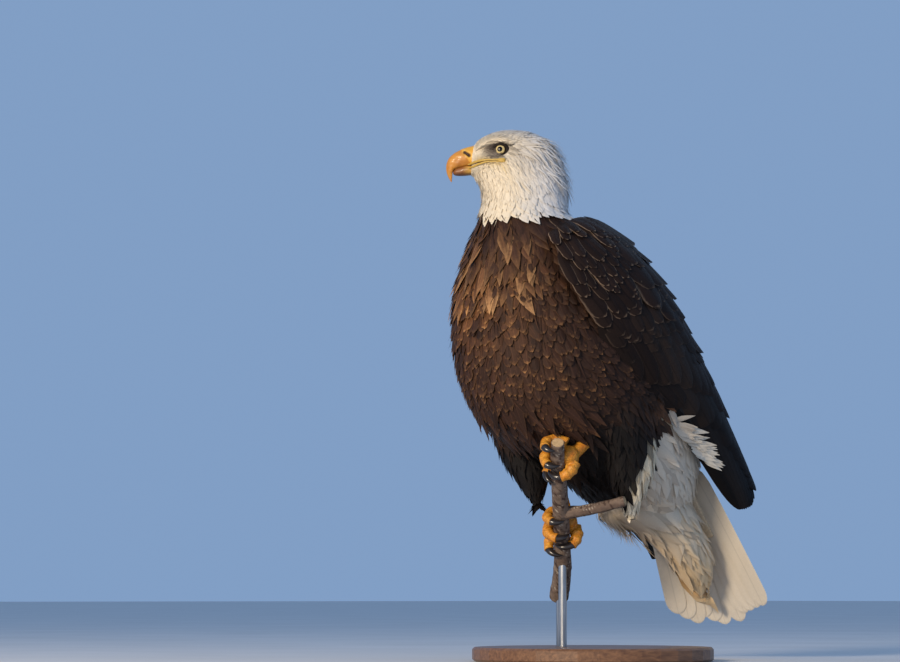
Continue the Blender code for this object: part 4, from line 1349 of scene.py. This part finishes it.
def scutes(count, ridge=0.9, grit=0.5, away=math.pi / 2):
    """Relief of a toe: overlapping plates over its top (a rising saw-tooth), pebbles round its sides."""

    def relief(u, a):
        top = smooth(0.15, 0.75, np.cos(a - away))
        saw = (u * count + 0.15 * np.cos(a - away)) % 1.0
        pebble = np.sin(u * count * 9.5 + 2 * np.sin(a * 3)) * np.sin(a * 9 + 2 * np.sin(u * 31))
        return ridge * top * (saw**0.7 - 0.5) * smooth(1.0, 0.85, saw) + grit * (1 - 0.6 * top) * pebble

    return relief


def foot_colours(p):
    """Orange-yellow scales, lighter in soft patches and darker brown in finer ones."""
    colour = blend(tint(208, 128, 30), tint(226, 160, 56), patches(p, 12, 15))
    return blend(colour, tint(142, 84, 28), 0.4 * patches(p, 5, 16))


def make_feet():
    for label, (grip, lean, ankle) in GRIPS.items():
        axis, top, front, wood = branch_frame(grip)
        a = math.radians(lean)
        up = top * math.cos(a) + front * math.sin(a)
        seat = np.array(grip, float) + up * (wood + PAD_RADIUS * 0.62)
        ankle = np.array(ankle, float)
        pad = [seat + axis * off for off in (-17, -8, 8, 17)]
        shank = [seat + up * 1, seat * 0.5 + ankle * 0.5 + up * 3, ankle]
        parts = [
            path_rings(pad, [6, 12.4, 12.4, 6], 40, 48, relief=scutes(7, 0.2, 0.5)),
            path_rings(shank, [9.8, 9.0, 10.8], 90, 48, relief=scutes(13, 0.6, 0.35, 0)),
        ]
        talons = []
        for toe, first, last, offset, drift, radius, arc in TOES:
            turn = math.copysign(arc, last - first)
            path = toe_path(grip, lean, first, last, offset, drift, radius + 1.0, radius * 0.78, 10)
            knuckle = 1 + 0.10 * np.cos(np.linspace(0, 6 * math.pi, 10))
            radii = np.linspace(radius, radius * 0.74, 10) * knuckle
            parts.append(path_rings(path, radii, 110, 40, side_axis=axis, relief=scutes(int(abs(last - first) / 8))))
            slack = turn / arc * -3.0
            claw = toe_path(grip, lean, last + slack, last + turn, offset + drift, drift * 0.15, radius * 0.80, 2.4, 8)
            sizes = TALON_RADIUS * (1 - np.linspace(0, 1, 8) ** 1.5) + 0.25
            talons.append((toe, path_rings(claw, sizes * 1.05, 48, 24, second=sizes * 0.88, side_axis=axis)))
        nodes = [f"{name}_{label}" for name in ("foot", "shank", *(toe[0] for toe in TOES))]
        finish_piece(fused("foot_skin_" + label, parts, 0.85, foot_colours, 1), "foot", "foot_skin", *nodes)
        for toe, rings in talons:
            share = np.linspace(0, 1, 48)[:, None, None]
            colour = np.broadcast_to(tint(34, 30, 30) * (1.6 - share), (48, 24, 3)).reshape(-1, 3)
            name = f"talon_{toe}_{label}"
            claw = tube(name, rings, np.concatenate([colour, colour[:1], colour[-1:]]))
            finish_piece(claw, "talon", "talon_horn", name)


def bark_relief(seed):
    def relief(u, a):
        place = np.stack([np.cos(a) + 0 * u, np.sin(a) + 0 * u, u * 9 + 0 * a], -1)
        ring = bell((u * 7 + 0.08 * np.sin(a * 2)) % 1.0, 0.5, 0.05)
        fade = smooth(0, 0.02, u) * smooth(1, 0.98, u)
        return (0.5 * noise(place, 1.6, seed) + 0.3 * noise(place, 0.35, seed + 1) + 0.5 * ring) * fade

    return relief


def bark_colours(p):
    """Grey-brown bark with pale flecks; pale wood on the cut ends."""
    colour = blend(tint(96, 78, 68), tint(126, 108, 94), patches(p, 26, 21))
    colour = blend(colour, tint(70, 52, 44), smooth(0.2, 0.9, noise(p, 9, 22)))
    colour = blend(colour, tint(168, 156, 140), smooth(0.75, 1.0, noise(p, 4.5, 23)))
    for rows in (PERCH, PERCH[::-1], STUB[::-1]):
        end, before = np.array(rows[0][:3], float), np.array(rows[1][:3], float)
        heading = unit(end - before)
        off = (p - end) @ heading
        radius = np.linalg.norm(p - end - off[..., None] * heading, axis=-1)
        cut = (off > -0.9) * (radius < rows[0][3] - 1.3)
        rings = 0.5 + 0.5 * np.sin(radius * 5.5)
        wood = blend(tint(206, 178, 136) + 0 * p, tint(176, 142, 100), rings)
        colour = blend(colour, wood, cut)
    return colour


def make_perch():
    """The cut branch and the stub of its side twig, melted together."""
    parts = []
    for rows, steps, sides, seed in ((PERCH, 260, 72, 31), (STUB, 120, 56, 35)):
        rows = np.array(rows, float)
        parts.append(path_rings(rows[:, :3], rows[:, 3] - 0.25, steps, sides, relief=bark_relief(seed)))
    finish_piece(fused("perch", parts, 1.0, bark_colours, 1), "bark", "bark", "perch", "perch_stub")


# ---------------------------------------------------------------- stand, studio and camera


def make_stand():
    """The stand's own solids are shown as they are, with a wood and a brushed steel finish."""
    wood = two_tone_material("stand_wood", tint(92, 62, 42), tint(134, 96, 66), 0.42, 26.0, (1.0, 9.0, 9.0), 0.0004)
    greys = (0.30, 0.31, 0.32), (0.52, 0.53, 0.54)
    steel = two_tone_material("stand_steel", *greys, 0.34, 60.0, (6, 6, 0.5), 0.0001, 1.0)
    for name, finish in (("stand_base", wood), ("stand_rod_low", steel), ("stand_rod_high", steel)):
        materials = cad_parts[name].data.materials
        materials.clear()
        materials.append(finish)


def aimed(name, data, towards, distance, aim):
    """A light or camera that looks at aim from a distance along towards."""
    made = bpy.data.objects.new(name, data)
    bpy.context.scene.collection.objects.link(made)
    towards = Vector(towards).normalized()
    made.location = Vector(aim) + towards * distance
    made.rotation_euler = towards.to_track_quat("Z", "Y").to_euler()
    return made


FLOOR_SIZE = 40.0
LIGHT_AIM = (-0.12, 0.0, 0.42)
LIGHTS = [
    # name, direction it stands in, distance, size, power, colour
    ("key", (-0.90, -0.24, 0.24), 4.0, 0.9, 160.0, (1.0, 0.83, 0.62)),
    ("fill", (-0.45, -0.85, 0.15), 3.6, 2.2, 6.0, (1.0, 0.86, 0.72)),
    ("rim", (0.75, 0.25, 0.7), 3.2, 1.2, 4.0, (0.75, 0.86, 1.0)),
]
CAMERA_BACK, CAMERA_DISTANCE, CAMERA_LENS = (-0.6398, -0.7625, -0.0958), 4.0, 110.3
CAMERA_AIM = (-122.2, 102.6, 476.2)


def make_studio():
    """Plain floor, blue surroundings like open sky, a low warm sun from the front, a weak fill and a cool rim."""
    corners = np.array([[-1, -1, 0], [1, -1, 0], [1, 1, 0], [-1, 1, 0]], float) * FLOOR_SIZE / MM + ORIGIN
    floor = mesh_object("floor", corners, [[0, 1, 2], [0, 2, 3]])
    floor.location.z = -0.0005
    plain = two_tone_material("floor_plain", (0.60, 0.60, 0.60), (0.66, 0.66, 0.66), 0.9, 3.0, (1, 1, 1), 0.0)
    floor.data.materials.append(plain)
    world = bpy.data.worlds.new("studio")
    world.use_nodes = True
    background = world.node_tree.nodes["Background"].inputs
    background["Color"].default_value, background["Strength"].default_value = (0.27, 0.42, 0.68, 1), 0.82
    bpy.context.scene.world = world
    for name, towards, distance, size, power, colour in LIGHTS:
        light = bpy.data.lights.new(name, "AREA")
        light.shape, light.size, light.energy, light.color = "DISK", size, power, colour
        aimed(name, light, towards, distance, LIGHT_AIM)
    bpy.context.scene.view_settings.view_transform = "Standard"


def make_camera():
    """A long lens four metres off, to the bird's front left and a little below its middle."""
    lens = bpy.data.cameras.new("camera")
    lens.sensor_width, lens.lens = 36.0, CAMERA_LENS
    lens.clip_start, lens.clip_end = 0.1, 200.0
    aim = (np.array(CAMERA_AIM) - ORIGIN) * MM
    bpy.context.scene.camera = aimed("camera", lens, CAMERA_BACK, CAMERA_DISTANCE, aim)


def main():
    """Every piece, in the order that the random draws were laid down in."""
    flesh = ["head", "neck", "trunk", "undertail", "thigh_left", "thigh_right"]
    flesh += ["wing_left", "wing_right", "wingtip_left", "wingtip_right"]
    finish_piece(make_skin(), "skin", None, *flesh)
    make_head_coat()
    make_neck_coat()
    make_body_coat()
    for side, label in ((-1, "left"), (1, "right")):
        make_wing_coat(side, label)
    make_vent_coat()
    make_tail_coat()
    make_thigh_coats()
    for label, sign in (("left", 1), ("right", -1)):
        eye_parts(label, sign)
    make_bill()
    make_feet()
    make_perch()
    make_stand()
    make_studio()
    make_camera()


main()
